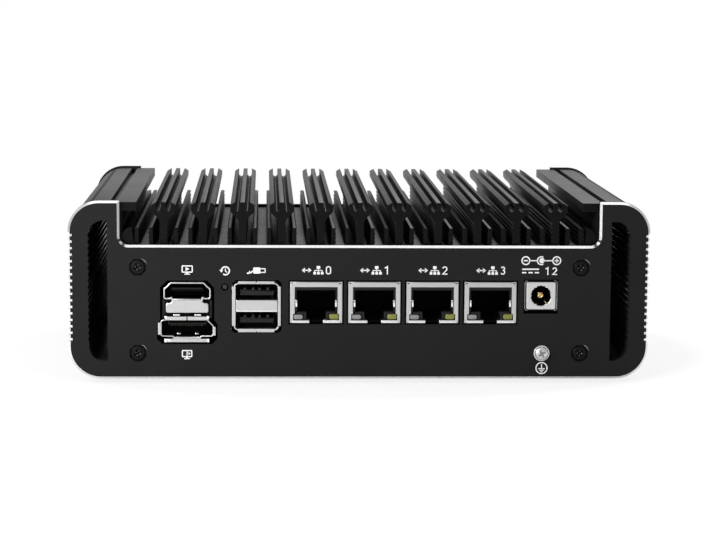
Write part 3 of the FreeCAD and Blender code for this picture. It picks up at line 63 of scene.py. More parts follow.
HALF_DEPTH = 62.75
PORT_FACE = -63.15
REAR = 180.0

Point = tuple[float, float]
Outline = Sequence[Point]
Colour = tuple[float, float, float]


# ---------------------------------------------------------------------------
# shader arithmetic


class Term:
    """An output socket that takes part in arithmetic; each operation adds a Math node."""

    def __init__(self, tree: "Tree", socket: bpy.types.NodeSocket) -> None:
        """Wrap a socket of a node tree."""
        self.tree = tree
        self.socket = socket

    def __add__(self, other: "Operand") -> "Term":
        """Add a number or another term."""
        return self.tree.math("ADD", self, other)

    __radd__ = __add__

    def __sub__(self, other: "Operand") -> "Term":
        """Take a number or another term away."""
        return self.tree.math("SUBTRACT", self, other)

    def __rsub__(self, other: "Operand") -> "Term":
        """Take this term away from a number."""
        return self.tree.math("SUBTRACT", other, self)

    def __mul__(self, other: "Operand") -> "Term":
        """Multiply by a number or another term."""
        return self.tree.math("MULTIPLY", self, other)

    __rmul__ = __mul__

    def __truediv__(self, other: "Operand") -> "Term":
        """Divide by a number or another term."""
        return self.tree.math("DIVIDE", self, other)

    def __pow__(self, other: "Operand") -> "Term":
        """Raise to a power."""
        return self.tree.math("POWER", self, other)

    def __gt__(self, other: "Operand") -> "Term":
        """One where this term is the greater, and nothing elsewhere."""
        return self.tree.math("GREATER_THAN", self, other)

    def __lt__(self, other: "Operand") -> "Term":
        """One where this term is the smaller, and nothing elsewhere."""
        return self.tree.math("LESS_THAN", self, other)

    def __abs__(self) -> "Term":
        """The size of the term without its sign."""
        return self.tree.math("ABSOLUTE", self)

    def within(self, low: float, high: float) -> "Term":
        """Where the term lies between two values.

        Args:
            low: The value that gives nought, as all below it do.
            high: The value that gives one, as all above it do.

        Returns:
            The share, with an even rise between.
        """
        feeds = {"Value": self, "From Min": low, "From Max": high}
        rise = self.tree.node("ShaderNodeMapRange", {"clamp": True}, feeds)
        return Term(self.tree, rise.outputs["Result"])


Operand = Union[Term, float]
Setting = Union[str, bool, int, float, Sequence[tuple[float, Colour]]]
Feed = Union[Term, float, Sequence[float]]
EVEN = (1.0, 1.0, 1.0)


class Tree:
    """The node tree of one material."""

    def __init__(self, tree: bpy.types.NodeTree) -> None:
        """Start with an empty tree.

        Args:
            tree: The material's or the world's own tree, which is emptied.
        """
        self.nodes = tree.nodes
        self.links = tree.links
        self.nodes.clear()

    def node(
        self,
        kind: str,
        settings: dict[str, Setting] | None = None,
        inputs: dict[str | int, Feed] | None = None,
    ) -> bpy.types.Node:
        """Add a node.

        Args:
            kind: The node's type name.
            settings: The node's own settings, set before its sockets; "stops" fills a ramp.
            inputs: A number, a vector, a colour or a term for each socket that is set.

        Returns:
            The new node.
        """
        made = self.nodes.new(kind)
        for name, value in (settings or {}).items():
            if name == "stops":
                self._fill_ramp(made, value)
            else:
                setattr(made, name, value)
        for name, value in (inputs or {}).items():
            if isinstance(value, Term):
                self.links.new(value.socket, made.inputs[name])
            else:
                made.inputs[name].default_value = value
        return made

    @staticmethod
    def _fill_ramp(ramp: bpy.types.Node, stops: Sequence[tuple[float, Colour]]) -> None:
        """Give a colour ramp its stops.

        Args:
            ramp: The colour ramp node.
            stops: Place and colour of each stop, from left to right.
        """
        elements = ramp.color_ramp.elements
        while len(elements) < len(stops):
            elements.new(1.0)
        for element, (place, colour) in zip(elements, stops):
            element.position = place
            element.color = (*colour, 1.0)

    def term(self, node: bpy.types.Node, output: str | int = 0) -> Term:
        """One output of a node as a term."""
        return Term(self, node.outputs[output])

    def math(self, operation: str, *values: Operand) -> Term:
        """Add a Math node for an operation on terms and numbers."""
        node = self.node("ShaderNodeMath", {"operation": operation}, dict(enumerate(values)))
        return self.term(node)

    def blend(self, share: Operand, first: Feed, second: Feed) -> Term:
        """Mix two colours.

        Args:
            share: How much of the second colour there is, from 0 to 1.
            first: A colour or a term that carries one.
            second: The other colour.

        Returns:
            The mixed colour.
        """
        feeds = {0: share}
        for index, colour in ((6, first), (7, second)):
            feeds[index] = colour if isinstance(colour, Term) else (*colour, 1.0)
        return self.term(self.node("ShaderNodeMix", {"data_type": "RGBA"}, feeds), 2)

    def place(self, stretch: Sequence[float] = EVEN) -> Term:
        """Where a spot of the piece is, in metres, stretched along each axis."""
        feeds = {"Vector": self.term(self.node("ShaderNodeTexCoord"), "Object"), "Scale": stretch}
        return self.term(self.node("ShaderNodeMapping", {}, feeds))

    def split(self, vector: Term) -> list[Term]:
        """The three parts of a vector or a colour."""
        parts = self.node("ShaderNodeSeparateXYZ", {}, {"Vector": vector})
        return [self.term(parts, axis) for axis in "XYZ"]

    def noise(self, scale: float, detail: float = 2.0, stretch: Sequence[float] = EVEN) -> Term:
        """Soft random mottling.

        Args:
            scale: How many mottles there are to a metre.
            detail: How many finer layers lie on the first.
            stretch: How much denser it is along each axis.

        Returns:
            A value that wanders about a half.
        """
        feeds = {"Vector": self.place(stretch), "Scale": scale, "Detail": detail}
        return self.term(self.node("ShaderNodeTexNoise", {}, feeds), "Fac")

    def bump(self, height: Term, depth: float, strength: float = 1.0) -> Term:
        """Raise the surface.

        Args:
            height: A value from 0 to 1.
            depth: How far a height of 1 stands up, in metres.
            strength: How much of it shows.

        Returns:
            A normal.
        """
        feeds = {"Height": height, "Distance": depth, "Strength": strength}
        return self.term(self.node("ShaderNodeBump", {}, feeds))


class Grain(Enum):
    """How a surface was worked, as how dense its marks are along X, Y and Z."""

    BLASTED = (1.0, 1.0, 1.0)
    DRAWN = (1.0, 0.02, 1.0)
    BRUSHED = (0.06, 1.0, 1.0)
    UPRIGHT = (1.0, 1.0, 0.06)
    MOULDED = (0.7, 0.7, 0.7)


# ---------------------------------------------------------------------------
# finishes


@dataclass(frozen=True)
class Finish:
    """A surface finish: colour, shine, and the marks that its making left."""

    name: str
    slot: str
    colour: Colour
    roughness: float
    metallic: float = 0.0
    grain: Grain = Grain.BLASTED
    grain_scale: float = 6000.0
    grain_depth: float = 0.000004
    cloud_scale: float = 90.0
    tone_spread: float = 0.18
    shine_spread: float = 0.08
    specular: float = 0.5
    coat: float = 0.0

    def material(self) -> bpy.types.Material:
        """Make the material of this finish the first time it is asked for.

        Returns:
            The material.
        """
        known = bpy.data.materials.get(self.name)
        if known:
            return known
        made = bpy.data.materials.new(self.name)
        made.use_nodes = True
        tree = Tree(made.node_tree)
        shader = self.shade(tree)
        tree.node("ShaderNodeOutputMaterial", {}, {"Surface": tree.term(shader)})
        return made

    def marks(self, tree: Tree) -> Term:
        """The fine marks of the making."""
        return tree.noise(self.grain_scale, 3.0, self.grain.value)

    def clouds(self, tree: Tree) -> Term:
        """Slow changes of tone over the piece."""
        return tree.noise(self.cloud_scale, 4.0)

    def tone(self, tree: Tree, marks: Term, clouds: Term) -> Term:
        """The colour, a little uneven.

        Args:
            tree: The material's nodes.
            marks: The fine marks.
            clouds: The slow changes of tone.

        Returns:
            The colour over the surface.
        """
        low = tuple(part * (1 - self.tone_spread) for part in self.colour)
        high = tuple(min(1.0, part * (1 + self.tone_spread)) for part in self.colour)
        return tree.blend(marks * 0.5 + clouds * 0.5, low, high)

    def shade(self, tree: Tree) -> bpy.types.Node:
        """Build the shader.

        Args:
            tree: The material's nodes, empty so far.

        Returns:
            The shader node.
        """
        marks, clouds = self.marks(tree), self.clouds(tree)
        feeds = {
            "Base Color": self.tone(tree, marks, clouds),
            "Roughness": self.roughness + (clouds - 0.5) * (2 * self.shine_spread),
            "Metallic": self.metallic,
            "Specular IOR Level": self.specular,
            "Coat Weight": self.coat,
            "Normal": tree.bump(marks, self.grain_depth),
        }
        return tree.node("ShaderNodeBsdfPrincipled", {}, feeds)


@dataclass(frozen=True)
class CutEdgeFinish(Finish):
    """Blasted and anodised plate whose slanting bevels were cut bright afterwards; the bevels of the notch
    fillets carry bands of painted reflection.
    """

    edge_colour: Colour = (0.86, 0.87, 0.88)
    edge_roughness: float = 0.22
    slant: tuple[float, float] = (0.45, 0.93)
    notch_reach: float = 0.0775
    reflection_band_depth: float = 0.93
    reflection_bands: tuple[float, ...] = (0.24, 0.42, 0.57, 0.67)

    def shade(self, tree: Tree) -> bpy.types.Node:
        """Build the shader.

        Args:
            tree: The material's nodes, empty so far.

        Returns:
            The shader node.
        """
        marks, clouds = self.marks(tree), self.clouds(tree)
        facing = tree.split(tree.term(tree.node("ShaderNodeNewGeometry"), "True Normal"))
        side, along = abs(facing[0]), abs(facing[1])
        cut = (along > self.slant[0]) * (along < self.slant[1])
        inner = abs(tree.split(tree.place())[0]) < self.notch_reach
        # painted reflection: dark and light bands across the bright bevels of the notch fillets
        dim, lit, dim_again, lit_again = (side.within(start, start + 0.02) for start in self.reflection_bands)
        mirror = 1 - (dim - lit + dim_again - lit_again) * inner * self.reflection_band_depth
        strokes = tree.noise(2400.0, 2.0, Grain.BRUSHED.value)
        dull = self.roughness + (clouds - 0.5) * (2 * self.shine_spread)
        bright = self.edge_roughness + strokes * 0.08
        feeds = {
            "Base Color": tree.blend(cut * mirror, self.tone(tree, marks, clouds), self.edge_colour),
            "Roughness": dull * (1 - cut) + bright * cut,
            "Metallic": self.metallic * (1 - cut) + cut,
            "Specular IOR Level": self.specular,
            "Normal": tree.bump(marks * (1 - cut * 0.9), self.grain_depth),
        }
        return tree.node("ShaderNodeBsdfPrincipled", {}, feeds)


# ---------------------------------------------------------------------------
# shaping


class Plane(Enum):
    """The plane that an outline is drawn in, as the turn from drawing to case."""

    FRONT = ((1, 0, 0), (0, 0, -1), (0, 1, 0))
    FLAT = ((1, 0, 0), (0, 1, 0), (0, 0, 1))

    def turn(self, level: float) -> Matrix:
        """The placing of a drawing at a level along the plane's own axis."""
        along = Vector((0.0, 0.0, -level)) if self is Plane.FRONT else Vector((0.0, 0.0, level))
        return Matrix(self.value).to_4x4() @ Matrix.Translation(along)


def polar(radius: float, turn: float) -> Point:
    """The point at a radius and a turn, in radians, from the origin."""
    return radius * math.cos(turn), radius * math.sin(turn)


def moved(outline: Outline, across: float, up: float) -> list[Point]:
    """An outline moved sideways and up."""
    return [(x + across, z + up) for x, z in outline]


def mirrored(half: Outline, middle: float = 0.0) -> list[Point]:
    """A right-hand half, from the bottom up, and its mirror image, as one line."""
    return [(middle + x, z) for x, z in half] + [(middle - x, z) for x, z in reversed(half)]


def hoop(outer: Outline, inner: Outline) -> list[Point]:
    """A band that is open at the bottom, from the right-hand halves of its outer and inner line."""
    return mirrored(outer) + mirrored(inner)[::-1]


def circle(across: float, up: float, radius: float, steps: int = 40) -> list[Point]:
    """Points round a circle.

    Args:
        across: The centre's first coordinate.
        up: The centre's second coordinate.
        radius: The radius.
        steps: How many points there are.

    Returns:
        The points, anticlockwise.
    """
    return moved([polar(radius, math.tau * step / steps) for step in range(steps)], across, up)


def bend(across: float, up: float, radius: float, start: float, end: float, steps: int = 16) -> list[Point]:
    """Points along part of a circle.

    Args:
        across: The centre's first coordinate.
        up: The centre's second coordinate.
        radius: The radius.
        start: Where it starts, in degrees.
        end: Where it ends.
        steps: How many pieces it is made of.

    Returns:
        The points.
    """
    turns = (math.radians(start + (end - start) * step / steps) for step in range(steps + 1))
    return moved([polar(radius, turn) for turn in turns], across, up)


def strip(route: Outline, width: float) -> list[Point]:
    """The outline of a bent strip of even thickness.

    Args:
        route: Its middle line.
        width: Its thickness.

    Returns:
        The closed outline.
    """
    left: list[Point] = []
    right: list[Point] = []
    last = len(route) - 1
    for index, point in enumerate(route):
        here = Vector(point)
        come = (here - Vector(route[index - 1])).normalized() if index else None
        go = (Vector(route[index + 1]) - here).normalized() if index < last else None
        way = ((come or go) + (go or come)).normalized()
        side = Vector((-way.y, way.x))
        reach = width / 2 / max(0.5, way.dot(come or go))
        left.append(tuple(here + side * reach))
        right.append(tuple(here - side * reach))
    return left + right[::-1]


def rounded(corners: Outline, radii: Sequence[float] | float, steps: int = 6) -> list[Point]:
    """Round the corners of an outline.

    Args:
        corners: The sharp outline.
        radii: One radius for each corner, or one for all.
        steps: How many pieces each quarter turn is made of.

    Returns:
        The rounded outline.
    """
    points: list[Point] = []
    count = len(corners)
    for index, corner in enumerate(corners):
        radius = radii if isinstance(radii, (int, float)) else radii[index]
        here = Vector(corner)
        before = (Vector(corners[index - 1]) - here).normalized()
        after = (Vector(corners[(index + 1) % count]) - here).normalized()
        opening = before.angle(after)
        if radius <= 0 or opening > math.pi - 1e-3:
            points.append(tuple(corner))
            continue
        reach = radius / math.tan(opening / 2)
        centre = here + (before + after).normalized() * (radius / math.sin(opening / 2))
        start = here + before * reach - centre
        sweep = math.pi - opening
        if start.x * after.y - start.y * after.x < 0:
            sweep = -sweep
        pieces = max(2, round(abs(sweep) / (math.pi / 2) * steps))
        for piece in range(pieces + 1):
            cos, sin = polar(1.0, sweep * piece / pieces)
            turned = (start.x * cos - start.y * sin, start.x * sin + start.y * cos)
            points.append((centre.x + turned[0], centre.y + turned[1]))
    return points


def frame_of(left: float, low: float, right: float, high: float, radius: float = 0.0) -> list[Point]:
    """A rectangle, rounded where a radius is given."""
    return rounded([(left, low), (right, low), (right, high), (left, high)], radius)


def area(outline: Outline) -> float:
    """The area inside an outline, below nought where it runs clockwise."""
    pairs = zip(outline, [*outline[1:], outline[0]])
    return sum(a[0] * b[1] - b[0] * a[1] for a, b in pairs) / 2


def holds(outline: Outline, point: Point) -> bool:
    """Whether a point lies inside an outline.

    Args:
        outline: The outline.
        point: The point.

    Returns:
        True where it does.
    """
    inside = False
    for a, b in zip(outline, [*outline[1:], outline[0]]):
        if (a[1] > point[1]) != (b[1] > point[1]):
            crossing = a[0] + (point[1] - a[1]) * (b[0] - a[0]) / (b[1] - a[1])
            inside = inside != (point[0] < crossing)
    return inside


class Mould:
    """Gathers the shapes of one piece and casts them as one object."""

    smooth_below = math.radians(32)

    def __init__(self, spin: float = 0.0, datum: Sequence[float] = (0.0, 0.0, 0.0)) -> None:
        """Start empty.

        Args:
            spin: Half a turn for a piece that stands on the rear panel.
            datum: The point that its shapes are measured from.
        """
        self.clay = bmesh.new()
        self.spin = Matrix.Rotation(math.radians(spin), 4, "Z")
        self.datum = Matrix.Translation(datum)

    def measure_from(self, across: float, along: float, up: float) -> None:
        """Set the point that the next shapes are measured from."""
        self.datum = Matrix.Translation((across, along, up))

    def _press(self, mesh: bpy.types.Mesh, place: Matrix, mark: int) -> None:
        """Add a mesh to the clay.

        Args:
            mesh: The mesh, which is used up.
            place: Where it goes, from the datum.
            mark: Which of the piece's finishes it has.
        """
        mesh.transform(self.datum @ place)
        for face in mesh.polygons:
            face.material_index = mark
        self.clay.from_mesh(mesh)
        bpy.data.meshes.remove(mesh)

    def plate(
        self,
        outlines: Sequence[Outline],
        near: float,
        far: float,
        edge: float = 0.1,
        mark: int = 0,
        plane: Plane = Plane.FRONT,
    ) -> None:
        """Add a flat part with softened edges; outlines inside an outline are holes in it.

        Args:
            outlines: The outlines of the part and of its holes.
            near: Where it starts along the plane's own axis.
            far: Where it ends.
            edge: The radius of its edges.
            mark: Which of the piece's finishes it has.
            plane: The plane of the outlines.
        """
        drawing = bpy.data.curves.new("drawing", "CURVE")
        drawing.dimensions = "2D"
        drawing.fill_mode = "BOTH"
        drawing.resolution_u = 1
        drawing.extrude = max(0.0, (far - near) / 2 - edge)
        drawing.bevel_depth = edge
        drawing.bevel_resolution = 1
        drawing.offset = -edge
        for outline in outlines:
            depth = sum(holds(other, outline[0]) for other in outlines if other is not outline)
            wanted = -1 if depth % 2 else 1
            points = list(outline) if area(outline) * wanted > 0 else list(reversed(outline))
            spline = drawing.splines.new("POLY")
            spline.points.add(len(points) - 1)
            for spot, (across, up) in zip(spline.points, points):
                spot.co = (across, up, 0.0, 1.0)
            spline.use_cyclic_u = True
        self._press(self._mesh_of(drawing), plane.turn((near + far) / 2), mark)

    @staticmethod
    def _mesh_of(drawing: bpy.types.Curve) -> bpy.types.Mesh:
        """Turn a curve into a mesh and use the curve up.

        Args:
            drawing: The curve.

        Returns:
            Its mesh, with doubled points joined.
        """
        holder = bpy.data.objects.new("holder", drawing)
        bpy.context.scene.collection.objects.link(holder)
        ready = holder.evaluated_get(bpy.context.evaluated_depsgraph_get())
        mesh = bpy.data.meshes.new_from_object(ready)
        bpy.data.objects.remove(holder)
        bpy.data.curves.remove(drawing)
        return mesh

    def wire(self, route: Sequence[Sequence[float]], radius: float, mark: int = 0) -> None:
        """Add a round wire.

        Args:
            route: The points that it passes.
            radius: Half its thickness.
            mark: Which of the piece's finishes it has.
        """
        drawing = bpy.data.curves.new("drawing", "CURVE")
        drawing.dimensions = "3D"
        drawing.bevel_depth = radius
        drawing.bevel_resolution = 3
        drawing.use_fill_caps = True
        spline = drawing.splines.new("POLY")
        spline.points.add(len(route) - 1)
        for spot, point in zip(spline.points, route):
            spot.co = (*point, 1.0)
        self._press(self._mesh_of(drawing), Matrix.Identity(4), mark)

    def block(self, low: Sequence[float], high: Sequence[float], edge: float = 0.15, mark: int = 0) -> None:
        """Add a block with softened edges.

        Args:
            low: Its lowest corner.
            high: Its highest corner.
            edge: The radius of its edges.
            mark: Which of the piece's finishes it has.
        """
        clay = bmesh.new()
        bmesh.ops.create_cube(clay, size=1.0)
        sides = [b - a for a, b in zip(low, high)]
        middle = [(a + b) / 2 for a, b in zip(low, high)]
        bmesh.ops.scale(clay, vec=sides, verts=clay.verts)
        if edge:
            bmesh.ops.bevel(clay, geom=clay.edges[:], offset=edge, segments=2, profile=0.5, affect="EDGES")
        mesh = bpy.data.meshes.new("block")
        clay.to_mesh(mesh)
        clay.free()
        self._press(mesh, Matrix.Translation(middle), mark)

    def pair(self, low: Sequence[float], high: Sequence[float], edge: float = 0.15, mark: int = 0) -> None:
        """Add a block and its mirror image across the middle.

        Args:
            low: The lowest corner of the right-hand one.
            high: Its highest corner.
            edge: The radius of the edges.
            mark: Which of the piece's finishes they have.
        """
        for left, right in ((-high[0], -low[0]), (low[0], high[0])):
            self.block((left, *low[1:]), (right, *high[1:]), edge, mark)

    def turned(
        self,
        centre: Point,
        profile: Outline,
        mark: int = 0,
        steps: int = 48,
        plane: Plane = Plane.FRONT,
    ) -> None:
        """Add a part that is turned on a lathe.

        Args:
            centre: Where its axis crosses the plane.
            profile: Radius and place along the axis of each point, from one end to the other.
            mark: Which of the piece's finishes it has.
            steps: How many pieces a turn is made of.
            plane: The plane that the axis stands on.
        """
        clay = bmesh.new()
        rings = []
        for radius, along in profile:
            height = -along if plane is Plane.FRONT else along
            rings.append([clay.verts.new((*spot, height)) for spot in circle(0.0, 0.0, radius, steps)])
        for first, second in zip(rings, rings[1:]):
            for step in range(steps):
                after = (step + 1) % steps
                clay.faces.new((first[step], first[after], second[after], second[step]))
        bmesh.ops.remove_doubles(clay, verts=clay.verts, dist=1e-5)
        bmesh.ops.dissolve_degenerate(clay, dist=1e-6, edges=clay.edges)
        bmesh.ops.recalc_face_normals(clay, faces=clay.faces)
        mesh = bpy.data.meshes.new("turned")
        clay.to_mesh(mesh)
        clay.free()
        move = Matrix.Translation((centre[0], centre[1], 0.0))
        self._press(mesh, plane.turn(0.0) @ move, mark)

    def carve(self, cutter: "Mould") -> None:
        """Cut the shape of another mould out of these.

        Args:
            cutter: The other mould, which is used up.
        """
        things = []
        for mould in (self, cutter):
            mesh = bpy.data.meshes.new("carving")
            mould.clay.to_mesh(mesh)
            thing = bpy.data.objects.new("carving", mesh)
            bpy.context.scene.collection.objects.link(thing)
            things.append(thing)
        cut = things[0].modifiers.new("cut", "BOOLEAN")
        cut.operation = "DIFFERENCE"
        cut.solver = "EXACT"
        cut.object = things[1]
        ready = things[0].evaluated_get(bpy.context.evaluated_depsgraph_get())
        mesh = bpy.data.meshes.new_from_object(ready)
        cutter.clay.free()
        self.clay.free()
        self.clay = bmesh.new()
        self.clay.from_mesh(mesh)
        for thing in things:
            bpy.data.objects.remove(thing)

    def stamp(self, pattern: "Mould", spot: Point, turn: float = 0.0, plane: Plane = Plane.FRONT) -> None:
        """Add a copy of another mould's shapes.

        Args:
            pattern: The other mould, which is kept.
            spot: How far the copy is moved in the plane.
            turn: How far it is turned about its axis first, in degrees.
            plane: The plane that it stands on.
        """
        mesh = bpy.data.meshes.new("stamp")
        pattern.clay.to_mesh(mesh)
        stand = plane.turn(0.0)
        move = Matrix.Translation((*spot, 0.0)) @ Matrix.Rotation(math.radians(turn), 4, "Z")
        mesh.transform(stand @ move @ stand.inverted())
        self.clay.from_mesh(mesh)
        bpy.data.meshes.remove(mesh)

    def copied(self, spot: Point, turn: float) -> "Mould":
        """Copy these shapes to a spot of the front plane.

        Args:
            spot: How far the copy is moved.
            turn: How far it is turned about its axis first, in degrees.

        Returns:
            A new mould with the copy.
        """
        made = Mould()
        made.stamp(self, spot, turn)
        return made

    def cast(self, name: str, finishes: Sequence[Finish], *replaces: str, body: str = "case") -> None:
        """Make the piece.

        Args:
            name: Its name.
            finishes: Its finishes, in the order of the marks.
            replaces: The CAD nodes that it stands for.
            body: The CAD body that it moves with.
        """
        mesh = bpy.data.meshes.new(name)
        self.clay.to_mesh(mesh)
        self.clay.free()
        lift = Matrix.Translation((0.0, 0.0, FOOT_HEIGHT))
        mesh.transform(Matrix.Scale(MM, 4) @ lift @ self.spin)
        for face in mesh.polygons:
            face.use_smooth = True
        mesh.set_sharp_from_angle(angle=self.smooth_below)
        for finish in finishes:
            mesh.materials.append(finish.material())
        piece = bpy.data.objects.new(name, mesh)
        bpy.context.scene.collection.objects.link(piece)
        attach(piece, body)
        if replaces:
            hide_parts(*replaces)
        LOG.info("%s: %d faces on %s", name, len(mesh.polygons), body)


def dress(finish: Finish, *nodes: str) -> None:
    """Give CAD nodes a finish.

    Args:
        finish: The finish.
        nodes: The names of the nodes.
    """
    for name in nodes:
        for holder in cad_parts[name].material_slots:
            holder.material = finish.material()
        LOG.info("%s: %s", name, finish.name)


def box_of(node: str, spin: float = 0.0) -> tuple[list[float], list[float]]:
    """The box of a CAD node, in millimetres on the drawings.

    Args:
        node: The node's name.
        spin: Half a turn for a node on the rear panel, so that the box faces the builder.

    Returns:
        The lowest and the highest corner.
    """
    low, high = ([part / MM for part in corner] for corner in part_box(node))
    low[2], high[2] = low[2] - FOOT_HEIGHT, high[2] - FOOT_HEIGHT
    if spin:
        low[:2], high[:2] = [-part for part in high[:2]], [-part for part in low[:2]]
    return low, high


def middle_of(node: str, spin: float = 0.0) -> Point:
    """Across and up of the middle of a CAD node, in millimetres on the drawings."""
    low, high = box_of(node, spin)
    return (low[0] + high[0]) / 2, (low[2] + high[2]) / 2


# ---------------------------------------------------------------------------
# this product's finishes

EXTRUDED = Finish(
    "extruded_anodised", "anodised_case", (0.0055, 0.0056, 0.0058), 0.38,
    grain=Grain.DRAWN, grain_scale=3500.0, grain_depth=0.000006, specular=0.2, shine_spread=0.07,
)
PANEL = CutEdgeFinish(
    "blasted_anodised", "anodised_panel", (0.0125, 0.0126, 0.013), 0.5,
    grain_scale=5200.0, grain_depth=0.000006, tone_spread=0.22, specular=0.1,
)
POWDER = Finish(
    "powder_coat", "cover_paint", (0.018, 0.018, 0.019), 0.55, grain_scale=1800.0, grain_depth=0.00002,
)
RUBBER = Finish(
    "moulded_rubber", "foot_rubber", (0.02, 0.02, 0.02), 0.82, grain_scale=2500.0, grain_depth=0.00002,
)
OXIDE = Finish(
    "black_oxide", "black_screw", (0.005, 0.005, 0.0053), 0.4, grain_scale=4000.0,
    grain_depth=0.000003, specular=0.12,
)
BRASS = Finish(
    "brass_plate", "plated_brass", (0.72, 0.6, 0.34), 0.3, metallic=1.0, grain=Grain.UPRIGHT, tone_spread=0.08,
)
TIN = Finish(
    "tin_plate", "plated_steel", (0.6, 0.6, 0.595), 0.3, metallic=1.0, grain=Grain.UPRIGHT,
    grain_scale=2600.0, grain_depth=0.000001, cloud_scale=160.0, tone_spread=0.04, shine_spread=0.03,
)
# painted highlight: a brighter, glossier copy of the tin plate for the tabs, folds and lines that catch the
# light
TIN_HIGHLIGHT = Finish(
    "painted_highlight_tin", "plated_steel", (0.95, 0.95, 0.94), 0.16, metallic=1.0, grain=Grain.BRUSHED,
    grain_scale=2600.0, grain_depth=0.000001, tone_spread=0.05,
)
# painted shade: the gold contacts inside the ports, darkened
SHADED_CONTACT = Finish(
    "painted_shade_contact", "gold_contact", (0.085, 0.083, 0.08), 0.4, metallic=0.4, grain_scale=3000.0,
    tone_spread=0.2,
)
NYLON = Finish(
    "black_nylon", "black_plastic", (0.0025, 0.0025, 0.0026), 0.5, grain=Grain.MOULDED,
    grain_scale=3000.0, grain_depth=0.000005, specular=0.06,
)
GREY_NYLON = Finish(
    "grey_nylon", "black_plastic", (0.014, 0.014, 0.014), 0.5, grain=Grain.MOULDED,
    grain_scale=3000.0, grain_depth=0.000006, specular=0.15,
)
GOLD = Finish(
    "gold_plate", "gold_contact", (0.95, 0.72, 0.34), 0.2, metallic=1.0, grain_depth=0.000001,
    tone_spread=0.06,
)
CLEAR = Finish("frosted_lens", "clear_lamp", (0.23, 0.23, 0.226), 0.24, cloud_scale=420.0, tone_spread=0.3)
GREEN = Finish("green_lens", "green_lamp", (0.2, 0.205, 0.035), 0.24, cloud_scale=420.0, tone_spread=0.3)
NICKEL = Finish(
    "nickel_plate", "inlet_plate", (0.72, 0.72, 0.71), 0.34, metallic=1.0, grain=Grain.BRUSHED,
    grain_scale=2200.0, grain_depth=0.000002, tone_spread=0.07,
)
ZINC = Finish(
    "zinc_plate", "earth_steel", (0.78, 0.78, 0.77), 0.24, metallic=1.0, cloud_scale=500.0, tone_spread=0.08,
)
SPUN = Finish(
    "spun_steel", "button_metal", (0.66, 0.66, 0.67), 0.28, metallic=1.0, grain_scale=3000.0, tone_spread=0.06,
)
BUTTON = Finish("moulded_button", "button_plastic", (0.02, 0.02, 0.02), 0.4, grain=Grain.MOULDED)
RESIN = Finish(
    "moulded_resin", "chip_resin", (0.028, 0.028, 0.029), 0.6, grain_scale=4500.0, grain_depth=0.00001,
)
MILLED = Finish(
    "milled_block", "heat_block", (0.62, 0.62, 0.63), 0.33, metallic=1.0, grain=Grain.BRUSHED,
    tone_spread=0.08,
)
SILICONE = Finish(
    "silicone_pad", "pad_silicone", (0.32, 0.37, 0.42), 0.7, grain_scale=1500.0, grain_depth=0.00002,
)
CELL = Finish(
    "cell_can", "cell_steel", (0.68, 0.68, 0.67), 0.25, metallic=1.0, grain=Grain.BRUSHED, tone_spread=0.06,
)
# painted shade: the cross recesses and the countersink gaps of the black screws
RECESS_SHADE = Finish("painted_recess_shade", "black_screw", (0.003, 0.003, 0.0031), 0.6, specular=0.1, tone_spread=0.3)
# partly wear on the drive flanks, partly painted highlight
FLANK_WEAR_AND_GLINT = Finish(
    "flank_wear_and_glint", "black_screw", (0.16, 0.16, 0.16), 0.35, metallic=0.5, cloud_scale=900.0, tone_spread=0.9,
)
# painted shade: the cross recess of the earth screw, darkened
ZINC_HOLLOW_SHADE = Finish(
    "painted_shade_zinc_recess", "earth_steel", (0.3, 0.3, 0.3), 0.3, metallic=1.0, cloud_scale=900.0, tone_spread=0.6,
)
# painted highlight: the glint crescents on the upper right of the screw seats
GLINT_CRESCENT = Finish(
    "painted_glint_crescent", "anodised_panel", (0.42, 0.42, 0.43), 0.3, metallic=0.6, grain_scale=6000.0,
    tone_spread=0.1,
)
PRINT = Finish(
    "white_print", "anodised_panel", (0.83, 0.83, 0.82), 0.6, grain_scale=9000.0, grain_depth=0.000002,
    tone_spread=0.06,
)


@dataclass(frozen=True)
class SolderMask(Finish):
    """Green solder mask with copper tracks that show through it."""

    track_pitch: float = 0.0004
    bundle_size: float = 0.009
    track_tint: Colour = (0.03, 0.105, 0.05)

    def tone(self, tree: Tree, marks: Term, clouds: Term) -> Term:
        """The colour with its tracks.

        Args:
            tree: The material's nodes.
            marks: The fine marks.
            clouds: The slow changes of tone.

        Returns:
            The colour over the surface.
        """
        base = super().tone(tree, marks, clouds)
        feeds = {"Vector": tree.place(), "Scale": 1 / self.bundle_size}
        bundles = tree.node("ShaderNodeTexVoronoi", {"distance": "CHEBYCHEV"}, feeds)
        chance, filled, _ = tree.split(tree.term(bundles, "Color"))
        lengthwise = chance > 0.5
        x, y, _ = tree.split(tree.place())
        along = tree.math("PINGPONG", x, self.track_pitch) * lengthwise
        across = tree.math("PINGPONG", y, self.track_pitch) * (1 - lengthwise)
        track = (along + across).within(self.track_pitch * 0.5, self.track_pitch * 0.6)
        return tree.blend(track * (filled > 0.35), base, self.track_tint)


MASK = SolderMask(
    "solder_mask", "circuit_board", (0.012, 0.052, 0.022), 0.34, grain_scale=2500.0, grain_depth=0.000004,
    coat=0.3,
)


# ---------------------------------------------------------------------------
# studio


